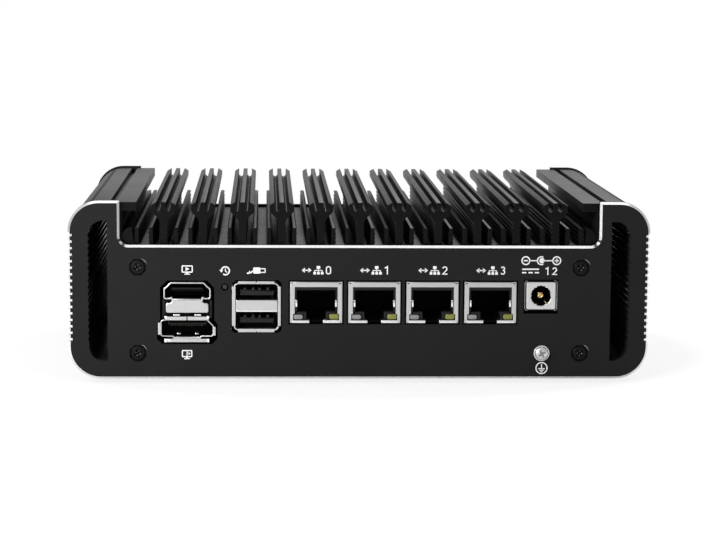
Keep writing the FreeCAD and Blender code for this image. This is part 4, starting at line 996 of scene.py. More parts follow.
@dataclass
class Studio:
    """Pale floor, soft lights, white surroundings and the camera."""

    place: tuple[float, float, float] = (-0.02948, -0.74798, 0.12543)
    yaw: float = math.radians(2.493)
    dip: float = math.radians(7.518)
    roll: float = math.radians(0.43)
    lens: float = 112.8
    floor_colour: Colour = (0.86, 0.86, 0.86)
    floor_haze: Colour = (0.85, 0.85, 0.85)
    floor_reach: float = 6.0
    shadow_reach: tuple[float, float] = (0.125, 0.095)
    shadow_edge: tuple[float, float] = (0.9, 1.25)
    floor_glow: float = 0.85
    world_light: float = 0.28
    world_seen: float = 0.72
    world_gloss: float = 0.27

    def build(self) -> None:
        """Set up everything that isn't part of the object."""
        scene = bpy.context.scene
        scene.view_settings.view_transform = "Standard"
        self.hang_camera(scene)
        self.lay_floor(scene)
        self.fill_world(scene)
        self.lamp("key", (-0.31, -0.34, 0.24), (0.26, 0.26), 2.3)
        self.lamp("top", (0.0, 0.16, 0.95), (1.1, 0.7), 2.8)
        self.lamp("rim", (0.0, 0.85, 0.42), (1.3, 0.4), 0.7)
        self.lamp("rear", (0.12, 0.5, 0.62), (0.4, 0.4), 2.2)
        self.lamp("left_rim", (-0.75, 0.62, 0.34), (0.35, 0.35), 1.8)
        self.lamp("right_rim", (0.75, 0.62, 0.34), (0.35, 0.35), 2.4)

    def hang_camera(self, scene: bpy.types.Scene) -> None:
        """Place the camera and make it the scene's own.

        Args:
            scene: The scene.
        """
        level = Vector((math.cos(self.yaw), -math.sin(self.yaw), 0.0))
        straight = Vector((math.sin(self.yaw), math.cos(self.yaw), 0.0))
        ahead = straight * math.cos(self.dip) - Vector((0.0, 0.0, math.sin(self.dip)))
        upright = level.cross(ahead)
        right = math.cos(self.roll) * level + math.sin(self.roll) * upright
        above = math.cos(self.roll) * upright - math.sin(self.roll) * level
        camera = bpy.data.cameras.new("camera")
        camera.lens = self.lens
        camera.sensor_width = 36.0
        camera.clip_start = 0.01
        stand = bpy.data.objects.new("camera", camera)
        turn = Matrix((right, above, -ahead)).transposed().to_4x4()
        stand.matrix_world = Matrix.Translation(self.place) @ turn
        scene.collection.objects.link(stand)
        scene.camera = stand

    def lay_floor(self, scene: bpy.types.Scene) -> None:
        """Lay a pale floor that fades into the white surroundings.

        Args:
            scene: The scene.
        """
        mesh = bpy.data.meshes.new("floor")
        reach = self.floor_reach
        corners = frame_of(-reach, -reach, reach, reach)
        mesh.from_pydata([(*corner, 0.0) for corner in corners], [], [(0, 1, 2, 3)])
        made = bpy.data.materials.new("floor")
        made.use_nodes = True
        tree = Tree(made.node_tree)
        tone = tree.blend(tree.noise(3.0), self.floor_haze, self.floor_colour)
        paint = tree.node("ShaderNodeBsdfDiffuse", {}, {"Color": tone})
        seen = tree.term(tree.node("ShaderNodeLightPath"), "Is Camera Ray")
        white = tree.node("ShaderNodeEmission", {}, {"Color": (1.0, 1.0, 1.0, 1.0), "Strength": 1.0})
        x, y, _ = tree.split(tree.place())
        across, along = x / self.shadow_reach[0], y / self.shadow_reach[1]
        away = (across * across + along * along) ** 0.5
        share = tree.math("MINIMUM", away.within(*self.shadow_edge) + self.floor_glow, 1.0)
        feeds = {"Fac": share * seen, 1: tree.term(paint), 2: tree.term(white)}
        both = tree.node("ShaderNodeMixShader", {}, feeds)
        tree.node("ShaderNodeOutputMaterial", {}, {"Surface": tree.term(both)})
        mesh.materials.append(made)
        floor = bpy.data.objects.new("floor", mesh)
        scene.collection.objects.link(floor)

    def fill_world(self, scene: bpy.types.Scene) -> None:
        """White for the camera, for gloss and for clear parts; softer for the rest.

        Args:
            scene: The scene.
        """
        world = bpy.data.worlds.new("surroundings")
        world.use_nodes = True
        scene.world = world
        tree = Tree(world.node_tree)
        rays = tree.node("ShaderNodeLightPath")
        seen = tree.math("MAXIMUM", tree.term(rays, "Is Camera Ray"), tree.term(rays, "Is Transmission Ray"))
        gloss = tree.term(rays, "Is Glossy Ray")
        strength = seen * self.world_seen + gloss * self.world_gloss + self.world_light
        light = tree.node("ShaderNodeBackground", {}, {"Color": (1.0, 1.0, 1.0, 1.0), "Strength": strength})
        tree.node("ShaderNodeOutputWorld", {}, {"Surface": tree.term(light)})

    def lamp(self, name: str, place: Sequence[float], size: Point, power: float) -> None:
        """Hang a soft lamp that faces the object.

        Args:
            name: Its name.
            place: Where it hangs, in metres.
            size: Its width and height, in metres.
            power: Its power, in watts.
        """
        light = bpy.data.lights.new(name, "AREA")
        light.shape = "RECTANGLE"
        light.size, light.size_y = size
        light.energy = power
        stand = bpy.data.objects.new(name, light)
        stand.location = place
        stand.visible_camera = False
        sight = Vector((0.0, 0.0, 0.03)) - Vector(place)
        stand.rotation_euler = sight.to_track_quat("-Z", "Y").to_euler()
        bpy.context.scene.collection.objects.link(stand)


# ---------------------------------------------------------------------------
# the case


@dataclass
class Case:
    """The extrusion, both end panels, the bottom cover and the feet."""

    foot_radius: float = 7.0
    foot_dish: float = 4.6

    def dress(self) -> None:
        """Give the CAD parts of the case their finishes."""
        dress(EXTRUDED, "case_extrusion")
        dress(PANEL, "io_panel", "power_panel")
        dress(POWDER, "bottom_cover")

    def build_feet(self) -> None:
        """Four round feet with a raised rim and a dished sole."""
        high = box_of("rubber_feet")[1]
        radius, dish = self.foot_radius, self.foot_dish
        across, along = high[0] - radius, high[1] - radius
        sole, top = -FOOT_HEIGHT, high[2]
        profile = [
            (0.0, sole + 0.5), (dish - 0.5, sole + 0.5), (dish, sole + 0.3), (dish + 0.3, sole),
            (radius - 0.5, sole), (radius - 0.15, sole + 0.15), (radius, sole + 0.5), (radius, top),
            (0.0, top),
        ]
        mould = Mould()
        for x in (-across, across):
            for y in (-along, along):
                mould.turned((x, y), profile, plane=Plane.FLAT)
        mould.cast("case_feet", [RUBBER], "rubber_feet")


# ---------------------------------------------------------------------------
# the heat sink


@dataclass(frozen=True)
class RibbedFinish(Finish):
    """Drawn anodised aluminium with painted light: painted highlights on the sharp ribs in the air ducts,
    brighter towards the top, and painted shade on the end faces.
    """

    rib_highlight_colour: Colour = (0.85, 0.85, 0.85)
    rib_pitch: float = 0.002
    rib_first: float = 0.0147
    rib_width: float = 0.07
    rib_roughness: float = 0.2
    rib_highlight_fade: tuple[float, float] = (0.022, 0.034)
    rib_reach: tuple[float, float] = (0.0816, 0.0831)
    duct_dulling: float = 0.3
    shaded_end_facing: tuple[float, float] = (0.4, 0.9)
    painted_end_shade: Colour = (0.001, 0.001, 0.0011)

    def shade(self, tree: Tree) -> bpy.types.Node:
        """Build the shader.

        Args:
            tree: The material's nodes, empty so far.

        Returns:
            The shader node.
        """
        marks, clouds = self.marks(tree), self.clouds(tree)
        facing = tree.split(tree.term(tree.node("ShaderNodeNewGeometry"), "Normal"))
        # painted shade: the faces that look along the length are darkened
        shaded_end_facing = abs(facing[1]).within(*self.shaded_end_facing)
        base = tree.blend(shaded_end_facing, self.tone(tree, marks, clouds), self.painted_end_shade)
        across, _, up = tree.split(tree.place())
        across = abs(across)
        turn = tree.math("FRACT", (up - self.rib_first) / self.rib_pitch + 0.5)
        inside = (across > self.rib_reach[0]) * (across < self.rib_reach[1])
        # painted highlight: bright metal lines on the ribs of the ducts' outer walls, fading out towards the
        # bottom
        rib = (abs(turn - 0.5) < self.rib_width) * inside * up.within(*self.rib_highlight_fade)
        dull = self.roughness + (clouds - 0.5) * (2 * self.shine_spread) + inside * self.duct_dulling
        feeds = {
            "Base Color": tree.blend(rib, base, self.rib_highlight_colour),
            "Roughness": dull * (1 - rib) + rib * self.rib_roughness,
            "Metallic": rib,
            "Specular IOR Level": self.specular,
            "Normal": tree.bump(marks, self.grain_depth),
        }
        return tree.node("ShaderNodeBsdfPrincipled", {}, feeds)


SINK = RibbedFinish(
    "drawn_anodised", "anodised_case", (0.0095, 0.0096, 0.0099), 0.38, grain=Grain.DRAWN, grain_scale=3500.0,
    grain_depth=0.000006, specular=0.14, shine_spread=0.06,
)


@dataclass
class HeatSink:
    """The aluminium extrusion, drawn as one outline: shoulders, flutes, ducts and fins."""

    half: float = 88.4
    low: float = 0.6
    top: float = 54.1
    foot_radius: float = 9.4
    crown_radius: float = 8.9
    corner_arm: float = 12.0
    flute_pitch: float = 2.0
    flute_depth: float = 0.6
    flute_first: float = 12.2
    flute_count: int = 17
    flute_face: float = 88.36
    seam: tuple[float, float, float] = (74.4, 76.4, 1.8)
    slab: tuple[float, float] = (68.3, 2.7)
    wall: float = 72.7
    wall_radius: float = 3.0
    plate_top: float = 40.3
    plate_low: float = 36.85
    fin_pitch: float = 12.0
    fin_steps: int = 5
    stem_half: float = 1.225
    head_half: float = 3.675
    prong: float = 1.4
    prong_slot: float = 2.85
    head_side: float = 2.9
    low_fin_offset: float = 3.85
    low_fin_half: float = 0.69
    low_fin_height: float = 6.0
    tooth_pitch: float = 1.3
    tooth_depth: float = 0.27
    duct: tuple[float, float, float, float] = (77.0, 82.6, 5.6, 48.7)
    duct_radius: float = 4.2
    duct_flute: float = 0.45
    cavity_half: float = 73.0
    cover_half: float = 79.0
    cover_top: float = 1.8
    channel: tuple[float, float, float] = (64.6, 67.8, 1.6)
    channel_heights: tuple[float, float, float] = (4.7, 11.1, 31.2)
    end: float = 60.25

    def flutes(self, face: float, depth: float, power: float, gap: float, count: int) -> list[Point]:
        """Round grooves up an upright wall.

        Args:
            face: Where the wall's face is.
            depth: How far they reach to the right of it, below nought for the left.
            power: How steep their sides are.
            gap: Half of what is left of the face between two of them.
            count: How many there are.

        Returns:
            The points, from the bottom up.
        """
        points: list[Point] = []
        for index in range(count):
            middle = self.flute_first + index * self.flute_pitch
            for step in range(7):
                turn = step / 6 * 2 - 1
                sink = depth * (1 - turn * turn) ** power
                points.append((face + sink, middle + turn * (self.flute_pitch / 2 - gap)))
        return points

    def teeth(self, across: float, low: float, high: float) -> list[Point]:
        """Shallow saw teeth up the right side of a fin.

        Args:
            across: Where the fin's side is.
            low: Where they start.
            high: Where they end.

        Returns:
            The points, from the bottom up.
        """
        points: list[Point] = []
        for index in range(int((high - low) / self.tooth_pitch)):
            foot = low + index * self.tooth_pitch
            points += [(across, foot), (across, foot + self.tooth_pitch * 0.45)]
            points.append((across - self.tooth_depth, foot + self.tooth_pitch * 0.72))
        return points

    def tall_fin(self) -> list[Point]:
        """The right half of a fin with a toothed stem, a flared head and three prongs.

        Returns:
            The points, from the bottom up.
        """
        stem, head, top = self.stem_half, self.head_half, self.top
        flare = top - self.head_side - (head - stem)
        sweep = [(stem, flare - 2.4), (stem, flare), (head, top - self.head_side), (head, top)]
        low = top - self.prong_slot
        slot = (head - self.prong * 1.5) / 2
        prongs = [
            (head, top), (head - self.prong, top), (head - self.prong, low + slot * 0.8),
            (self.prong / 2 + slot, low), (self.prong / 2, low + slot * 0.8), (self.prong / 2, top),
            (0.0, top),
        ]
        half = self.teeth(stem, self.plate_top, flare - 0.6)
        half += rounded(sweep, [0, 1.6, 1.5, 0.1], 5)[1:]
        return half + rounded(prongs, [0.0, 0.1, 0.2, 0.3, 0.2, 0.1, 0.0], 3)[1:-1]

    def low_fin(self) -> list[Point]:
        """The right half of a low toothed fin.

        Returns:
            The points, from the bottom up.
        """
        crest, side = self.plate_top + self.low_fin_height, self.low_fin_half
        return self.teeth(side, self.plate_top, crest - 0.4) + [(side, crest - 0.3), (side - 0.3, crest)]

    def field(self) -> list[Point]:
        """All fins.

        Returns:
            The points, from right to left.
        """
        halves = {True: self.tall_fin(), False: self.low_fin()}
        fins = [(step * self.fin_pitch, True) for step in range(-self.fin_steps, self.fin_steps + 1)]
        for step in range(-self.fin_steps, self.fin_steps + 2):
            fins.append((step * self.fin_pitch - self.low_fin_offset, False))
            fins.append(((step - 1) * self.fin_pitch + self.low_fin_offset, False))
        points: list[Point] = []
        for middle, tall in sorted(fins, reverse=True):
            points += mirrored(halves[tall], middle)
        return points

    def outline(self) -> list[Point]:
        """The whole outline.

        Returns:
            The points, anticlockwise from the right end of the cover's seat.
        """
        half, low, top, arm = self.half, self.low, self.top, self.corner_arm
        near, far, depth = self.seam
        slab, thick = self.slab
        wall, deck = self.wall, self.plate_top
        seat = self.cover_half - 1
        foot = rounded([(seat, low), (half, low), (half, low + arm)], [0, self.foot_radius, 0], 12)
        crown = rounded([(half, top - arm), (half, top), (half - arm, top)], [0, self.crown_radius, 0], 12)
        shoulder = [
            (far, top), (far, top - depth), (near, top - depth), (near, top), (slab, top), (slab, top - thick),
            (wall, top - thick),
        ]
        sweep = rounded([(wall, top - thick), (wall, deck), (wall - 4, deck)], [0, self.wall_radius, 0])
        right = [(self.cover_half, low)] + foot[1:-1]
        right += self.flutes(self.flute_face, -self.flute_depth, 0.75, 0.03, self.flute_count)
        right += crown[1:-1] + shoulder + sweep[1:-1]
        left = [(-x, z) for x, z in reversed(right)]
        face, root, cut = self.channel
        sill, shelf, eaves = self.channel_heights
        cavity = self.cavity_half
        inside = [
            (self.cover_half, self.cover_top), (cavity, self.cover_top), (cavity, sill), (root, sill),
            (face, sill + cut), (face, shelf - cut), (root, shelf), (cavity, shelf), (cavity, eaves),
            (root, eaves), (face, eaves + cut), (face, self.plate_low),
        ]
        return right + self.field() + left + mirrored(inside)[::-1]

    def duct_hole(self, side: int) -> list[Point]:
        """One air duct with its scalloped outer wall.

        Args:
            side: 1 for the right duct, -1 for the left.

        Returns:
            Its outline.
        """
        inner, outer, low, high = self.duct
        radius = self.duct_radius
        path = rounded([(inner, low), (outer, low), (outer, high), (inner, high)], [0, radius, radius, 0], 8)
        first = [point for point in path if point[1] <= low + radius + 0.01]
        last = [point for point in path if point[1] > low + radius + 0.01]
        count = int((high - low - 2 * radius) / self.flute_pitch)
        scallops = self.flutes(outer, self.duct_flute, 0.8, 0.02, count)
        scallops = [point for point in scallops if low + radius < point[1] < high - radius]
        return [(side * x, z) for x, z in first + scallops + last]

    def build(self) -> None:
        """Draw the outline through the whole length of the case."""
        mould = Mould()
        mould.plate([self.outline(), self.duct_hole(-1), self.duct_hole(1)], -self.end, self.end, 0.035)
        mould.cast("heat_sink", [SINK], "case_extrusion")


# ---------------------------------------------------------------------------
# network jacks


@dataclass
class NetworkJack:
    """One shielded network jack, drawn from the middle of its foot: ring, tabs, insert, springs and lamps."""

    index: int
    half_width: float = 7.975
    height: float = 12.7
    depth: float = 20.9
    wall: float = 0.35
    bay_half: float = 5.95
    latch_half: float = 2.1
    lamp_offset: float = 5.45
    contact_pitch: float = 1.02
    insert_start: float = 0.55
    across: float = field(init=False)
    low: float = field(init=False)

    def __post_init__(self) -> None:
        """Take the jack's place from its CAD shell."""
        self.across = middle_of(f"lan_shield_{self.index}")[0]
        self.low = box_of(f"lan_shield_{self.index}")[0][2]

    def build_shell(self) -> None:
        """Face ring with its side nibs and the box of sheet metal behind it."""
        mould = Mould(datum=(self.across, PORT_FACE, self.low))
        half, top, wall, latch = self.half_width, self.height, self.wall, self.latch_half
        shoulder, window = half - 0.95, half - 1.45
        outer = [(latch, 0.0), (half - 0.65, 0.0), (half, 0.65), (half, top - 0.55), (shoulder, top - 0.55)]
        outer.append((shoulder, top))
        inner = [(latch, 0.95), (shoulder, 0.95), (shoulder, 2.75), (window, 2.75), (window, top - 1.6)]
        mould.plate([hoop(outer, inner)], 0.0, 0.45, 0.14)
        mould.plate([frame_of(1.35 - half, top - 0.62, half - 1.35, top - 0.12, 0.12)], -0.1, 0.2, 0.1)
        # painted highlight: the side nibs and the lower tabs take the bright copy of the tin (mark 1)
        mould.pair((half - 2.2, -0.05, 5.0), (half - 1.62, 1.2, 7.15), 0.16, 1)
        mould.pair((latch, -0.1, 0.12), (half - 0.75, 0.2, 0.82), 0.12, 1)
        near, roof = half - wall, top - wall
        folded = hoop([(latch, 0.0), (half, 0.0), (half, top)], [(latch, wall), (near, wall), (near, roof)])
        mould.plate([folded], 0.45, self.depth, 0.05)
        mould.plate([frame_of(-near, wall, near, roof, 0.2)], self.depth - wall, self.depth, 0.05)
        mould.cast(f"network_shell_{self.index}", [TIN, TIN_HIGHLIGHT], f"lan_shield_{self.index}")

    def build_insert(self) -> None:
        """Moulded insert with the plug bay, the latch channel, lamp pockets and contact comb."""
        mould = Mould(datum=(self.across, PORT_FACE + self.insert_start, self.low))
        half, latch, lamp = self.bay_half, self.latch_half, self.lamp_offset
        outer = frame_of(-7.55, 0.4, 7.55, 12.25)
        bay = mirrored([
            (latch, 0.6), (latch, 1.4), (latch + 0.85, 1.4), (latch + 0.85, 2.75), (half, 2.75), (half, 10.65),
        ])
        lamps = [frame_of(middle - 1.62, 1.0, middle + 1.62, 2.6, 0.35) for middle in (-lamp, lamp)]
        mould.plate([outer, bay, *lamps], 0.0, 4.6, 0.08)
        mould.plate([outer, bay], 4.6, 15.0, 0.05)
        mould.plate([outer], 15.0, 18.6, 0.05)
        mould.plate([frame_of(-half - 0.45, 10.15, half + 0.45, 11.05, 0.1)], -0.3, 1.6, 0.1, 1)
        step = [
            (latch + 0.9, 1.25), (latch + 1.7, 1.25), (latch + 1.7, 2.72), (half - 0.1, 2.72),
            (half - 0.1, 3.35), (latch + 0.9, 3.35),
        ]
        for side in (-1, 1):
            mould.plate([[(side * x, z) for x, z in step]], -0.25, 3.0, 0.1, 1)
        mould.pair((half, -0.2, 3.4), (half + 0.4, 2.0, 10.2), 0.1, 1)
        for gap in range(-4, 5):
            rib = gap * self.contact_pitch
            mould.block((rib - 0.14, 3.2, 9.3), (rib + 0.14, 14.8, 10.7), 0.05)
        mould.cast(f"network_insert_{self.index}", [NYLON, GREY_NYLON], f"lan_insert_{self.index}")

    def add_springs(self, mould: Mould) -> None:
        """The eight bent contact springs.

        Args:
            mould: Where they go.
        """
        mould.measure_from(self.across, PORT_FACE + 5.6, self.low + 10.5)
        bends = ((8.8, -0.1), (1.2, -0.1), (0.4, -0.45), (0.5, -1.0), (1.4, -1.6), (6.6, -4.4))
        for wire in range(8):
            across = (wire - 3.5) * self.contact_pitch
            mould.wire([(across, along, up) for along, up in bends], 0.17)

    def add_lamp(self, mould: Mould, side: int, height: float) -> None:
        """One lamp lens with a domed face.

        Args:
            mould: Where it goes.
            side: -1 for the left lamp, 1 for the right.
            height: The height of its lens.
        """
        mould.measure_from(self.across + side * self.lamp_offset, PORT_FACE, self.low + 1.08)
        mould.plate([frame_of(-1.46, 0.0, 1.46, height, 0.62)], 0.25, 5.8, 0.3)
        mould.plate([frame_of(-0.75, 0.3, 0.75, height - 0.3, 0.35)], 0.16, 0.5, 0.12)


@dataclass
class NetworkRow:
    """The four network jacks in their row."""

    count: int = 4
    link_height: float = 1.5
    activity_height: float = 1.72

    def build(self) -> None:
        """Build the jacks, then their contacts and lamps as pieces that span the row."""
        springs, links, activity = Mould(), Mould(), Mould()
        for jack in map(NetworkJack, range(self.count)):
            jack.build_shell()
            jack.build_insert()
            jack.add_springs(springs)
            jack.add_lamp(links, -1, self.link_height)
            jack.add_lamp(activity, 1, self.activity_height)
        springs.cast("network_springs", [GOLD], "lan_contacts")
        links.cast("network_link_lamps", [CLEAR], "link_leds")
        activity.cast("network_activity_lamps", [GREEN], "activity_leds")


# ---------------------------------------------------------------------------
# stacked ports


@dataclass
class StackedPort:
    """Two type A ports, one over the other, in one folded shell, drawn from the middle of its foot."""

    node: str
    spin: float = 0.0
    half_width: float = 7.45
    height: float = 15.75
    depth: float = 16.9
    corner: float = 1.45
    tongue_half: float = 5.3
    datum: Sequence[float] = field(init=False)

    def __post_init__(self) -> None:
        """Take the port's place from its CAD shell, turned to face the builder."""
        across, up = middle_of(f"{self.node}_shell", self.spin)
        self.datum = (across, PORT_FACE, up - self.height / 2)

    def build_shell(self) -> None:
        """Thin rounded shell, the four thick folded flanges and the bridge between the ports."""
        mould = Mould(self.spin, self.datum)
        half, top, depth = self.half_width, self.height, self.depth
        fold = half - 1.9
        outer = frame_of(0.55 - half, 0.55, half - 0.55, top - 0.55, self.corner)
        inner = frame_of(0.9 - half, 0.9, half - 0.9, top - 0.9, self.corner - 0.3)
        mould.plate([outer, inner], 0.1, depth, 0.06)
        mould.plate([outer], depth - 0.4, depth, 0.05)
        for lower, upper in ((top - 0.86, top), (0.0, 1.1)):
            for left, right in ((-fold, -0.08), (0.08, fold)):
                mould.plate([frame_of(left, lower, right, upper, 0.12)], 0.0, 0.8, 0.12)
        mould.block((-fold, 0.03, 0.45), (fold, 0.5, 0.62), 0.03)
        for left, right in ((-half, 1.1 - half), (half - 0.88, half)):
            mould.plate([frame_of(left, 1.9, right, top - 1.6, 0.14)], 0.0, 0.8, 0.13)
        mould.plate([frame_of(1.2 - half, 6.38, half - 0.98, top - 5.8, 0.45)], 0.12, 1.2, 0.22)
        # painted highlight: the strip along the foot of the bridge takes the bright copy of the tin (mark 1)
        mould.plate([frame_of(1.3 - half, 6.3, half - 1.05, 6.85, 0.2)], 0.0, 1.0, 0.16, 1)
        mould.plate([frame_of(1.2 - half, 6.9, half - 1.0, top - 6.2)], 1.2, 12.0, 0.05)
        mould.cast(f"{self.node}_shell", [TIN, TIN_HIGHLIGHT], f"{self.node}_shell")

    def build_tongues(self) -> None:
        """Contact tongues on their moulded block, with four contacts on each."""
        mould = Mould(self.spin, self.datum)
        half, top = self.tongue_half, self.height
        mould.plate([frame_of(-6.3, 1.1, 6.3, top - 1.1, 0.4)], 12.2, self.depth - 0.5, 0.1)
        for up in (top - 2.95, 4.35):
            outline = [(-half, up), (0.22 - half, up - 1.6), (half - 0.22, up - 1.6), (half, up)]
            mould.plate([rounded(outline, 0.2)], 1.5, 12.3, 0.16)
            # mark 1, the contacts, takes the painted shade of the contacts inside the port
            for x in (-3.5, -1.0, 1.0, 3.5):
                mould.block((x - 0.5, 2.6, up - 0.1), (x + 0.5, 12.2, up + 0.06), 0.03, 1)
                mould.block((x - 0.28, 2.4, up + 0.35), (x + 0.28, 3.4, up + 0.6), 0.1, 1)
                mould.block((x - 0.2, 3.2, up + 0.02), (x + 0.2, 3.5, up + 0.5), 0.05, 1)
        mould.cast(f"{self.node}_tongues", [GREY_NYLON, SHADED_CONTACT], f"{self.node}_insulator")


# ---------------------------------------------------------------------------
# video ports


@dataclass
class VideoPorts:
    """Two monitor ports, one over the other, with the sheet bracket that joins them."""

    middle: float = -52.8
    upper_top: float = 29.9
    lower_top: float = 18.25
    depth: float = 11.9
    throat: float = 7.0
    sheet: float = 0.45
    thin_sheet: float = 0.34
    upper_half: Outline = (
        (4.55, -5.75), (4.62, -4.85), (4.82, -4.72), (5.2, -5.02), (6.5, -5.05), (6.82, -4.92), (6.98, -4.55),
        (6.98, -2.4), (6.86, -2.0), (6.62, -1.76), (6.12, -1.44), (5.15, -0.36), (4.82, -0.23),
    )
    lower_line: Outline = (
        (-6.6, 0.0), (-7.45, -0.05), (-7.95, -0.5), (-7.95, -4.45), (-7.6, -4.9), (-4.3, -4.98), (-4.1, -5.35),
        (4.1, -5.35), (4.3, -4.98), (7.5, -4.95), (7.95, -4.5), (7.95, -1.85), (6.25, -0.1),
    )
    flares: tuple[Sequence[float], ...] = (
        (-6.75, -0.1, -0.12, 1.12), (0.12, -0.1, 6.6, 1.12), (-8.9, -4.55, -8.0, -0.75),
        (7.98, -4.85, 8.7, -2.05), (-6.8, -6.85, 6.6, -5.75),
    )
    tabs: tuple[Sequence[float], ...] = (
        (-6.9, 0.5, -6.1, 1.3), (5.95, 0.5, 6.75, 1.3), (-6.95, -6.9, -6.2, -5.7), (6.1, -6.9, 6.75, -5.7),
        (-5.95, -6.7, -5.0, -5.85), (-4.25, 1.35, -2.15, 1.85), (2.2, 1.35, 4.25, 1.85),
    )

    def mould_at(self, top: float) -> Mould:
        """An empty mould that measures from the top of a port, on its face."""
        return Mould(datum=(self.middle, PORT_FACE, top))

    def build_upper(self) -> None:
        """Upper shell with its cut corners, and its tongue."""
        mould, line = self.mould_at(self.upper_top), mirrored(self.upper_half)
        mould.plate([strip(line, self.sheet)], 0.0, self.depth, 0.12)
        mould.cast("upper_video_shell_line", [TIN], "upper_video_shell")
        inside = self.mould_at(self.upper_top)
        back = mirrored([(4.6, -4.9), (6.8, -4.9), (6.8, -2.0), (4.9, -0.4)])
        inside.plate([back], self.throat, self.depth - 0.1, 0.05)
        lining = [(x * 0.955, z * 0.9 - 0.27) for x, z in line]
        inside.plate([strip(lining, 0.12)], 0.8, self.throat + 0.1, 0.03)
        inside.plate([frame_of(-4.8, -2.75, 4.8, -1.78, 0.12)], 0.9, self.throat + 0.1, 0.12)
        inside.plate([frame_of(-4.72, -2.12, 4.72, -1.82, 0.08)], 0.75, 1.4, 0.06, 1)
        for pin in range(10):
            x = (pin - 4.5) * 0.9
            inside.block((x - 0.16, 1.8, -2.82), (x + 0.16, self.throat, -2.7), 0.02, 2)
        inside.cast("upper_video_tongue", [NYLON, GREY_NYLON, GOLD], "upper_video_insulator")

    def build_lower(self) -> None:
        """Lower shell with one cut corner, its flares and feet, and its tongue."""
        mould = self.mould_at(self.lower_top)
        mould.plate([strip(self.lower_line, self.thin_sheet)], 0.0, self.depth, 0.1)
        for sides in self.flares:
            mould.plate([frame_of(*sides, 0.16)], -0.05, 0.9, 0.16)
        # painted highlight: the tabs take the bright copy of the tin (mark 1)
        for sides in self.tabs:
            mould.plate([frame_of(*sides, 0.14)], -0.1, 0.7, 0.14, 1)
        mould.plate([frame_of(-4.2, -5.78, 4.15, -5.2, 0.1)], 0.05, 0.9, 0.1)
        mould.cast("lower_video_shell_line", [TIN, TIN_HIGHLIGHT], "lower_video_shell")
        inside = self.mould_at(self.lower_top)
        back = [(-7.75, -4.75), (7.75, -4.75), (7.75, -1.9), (6.1, -0.2), (-7.75, -0.2)]
        inside.plate([back], self.throat, self.depth - 0.1, 0.05)
        lining = [(x * 0.965, z * 0.93 - 0.2) for x, z in self.lower_line]
        inside.plate([strip(lining, 0.1)], 0.8, self.throat + 0.1, 0.03)
        inside.plate([frame_of(-5.7, -1.85, 5.7, -0.62, 0.15)], 1.3, self.throat + 0.1, 0.14)
        rail = [
            (-5.75, -0.5), (-5.45, -0.5), (-5.45, -1.1), (5.45, -1.1), (5.45, -0.5), (5.75, -0.5),
            (5.75, -1.5), (-5.75, -1.5),
        ]
        inside.plate([rail], 1.1, 1.9, 0.08, 1)
        for x in (-2.55, 2.95):
            inside.block((x - 0.6, 1.4, -4.72), (x + 0.6, 4.0, -4.2), 0.2, 3)
        for pin in range(10):
            x = pin - 4.5
            inside.block((x - 0.2, 1.9, -1.96), (x + 0.2, self.throat, -1.8), 0.03, 2)
        inside.cast("lower_video_tongue", [NYLON, GREY_NYLON, GOLD, TIN], "lower_video_insulator")

    def build_bracket(self) -> None:
        """The sheet between the ports: neck, plate and the dark housing behind."""
        mould, depth = self.mould_at(self.upper_top), self.depth
        half = [
            (6.1, -9.47), (6.5, -9.1), (6.5, -6.85), (6.1, -6.42), (5.3, -6.4), (4.9, -6.2), (4.68, -5.85),
            (4.62, -5.1),
        ]
        mould.plate([mirrored(half)], 0.25, 0.85, 0.24)
        # painted highlight: the ridge across the neck takes the bright copy of the tin (mark 1)
        mould.wire([(-4.5, 0.3, -5.62), (4.5, 0.3, -5.62)], 0.2, 1)
        mould.cast("video_bracket_plate", [TIN, TIN_HIGHLIGHT], "video_stack_bracket")
        body = self.mould_at(self.upper_top)
        body.pair((6.75, 1.2, -11.3), (7.6, 6.0, -5.5))
        body.block((-8.1, depth, -16.8), (8.1, 16.0, 0.0), 0.3)
        body.block((-6.7, 1.4, -11.2), (6.7, depth, -5.6), 0.2, 1)
        body.cast("video_housing_block", [GREY_NYLON, NYLON], "video_stack_housing")

    def build(self) -> None:
        """Build both ports and their bracket."""
        self.build_upper()
        self.build_lower()
        self.build_bracket()


# ---------------------------------------------------------------------------
# screws, power inlet, earth terminal, buttons and lamps


def cut_cross(
    mould: Mould,
    face: float,
    reach: float,
    depth: float = 0.6,
    plane: Plane = Plane.FRONT,
) -> None:
    """Cut a cross recess into a screw head that stands on the plane's own axis.

    Args:
        mould: The mould that holds the head.
        face: Where the head's face is along the axis.
        reach: Half the length of the cross.
        depth: How deep it goes.
        plane: The plane that the axis stands on.
    """
    # the slot walls take mark 1, the painted shade of the recess; the flare takes mark 2, which on the black
    # screws is part wear and part painted highlight
    arm = reach * 0.25
    for wide, tall in ((reach, arm), (arm, reach)):
        cutter = Mould()
        slot = frame_of(-wide, -tall, wide, tall, arm * 0.4)
        cutter.plate([slot], face - 0.3, face + depth, 0.03, 1, plane)
        mould.carve(cutter)
    cutter = Mould()
    low, wide = face + depth * 0.8, reach * 0.62
    flare = [(0.0, face - 0.1), (wide, face - 0.1), (wide, face), (arm * 0.9, low), (0.0, low)]
    cutter.turned((0.0, 0.0), flare, 2, 24, plane)
    mould.carve(cutter)


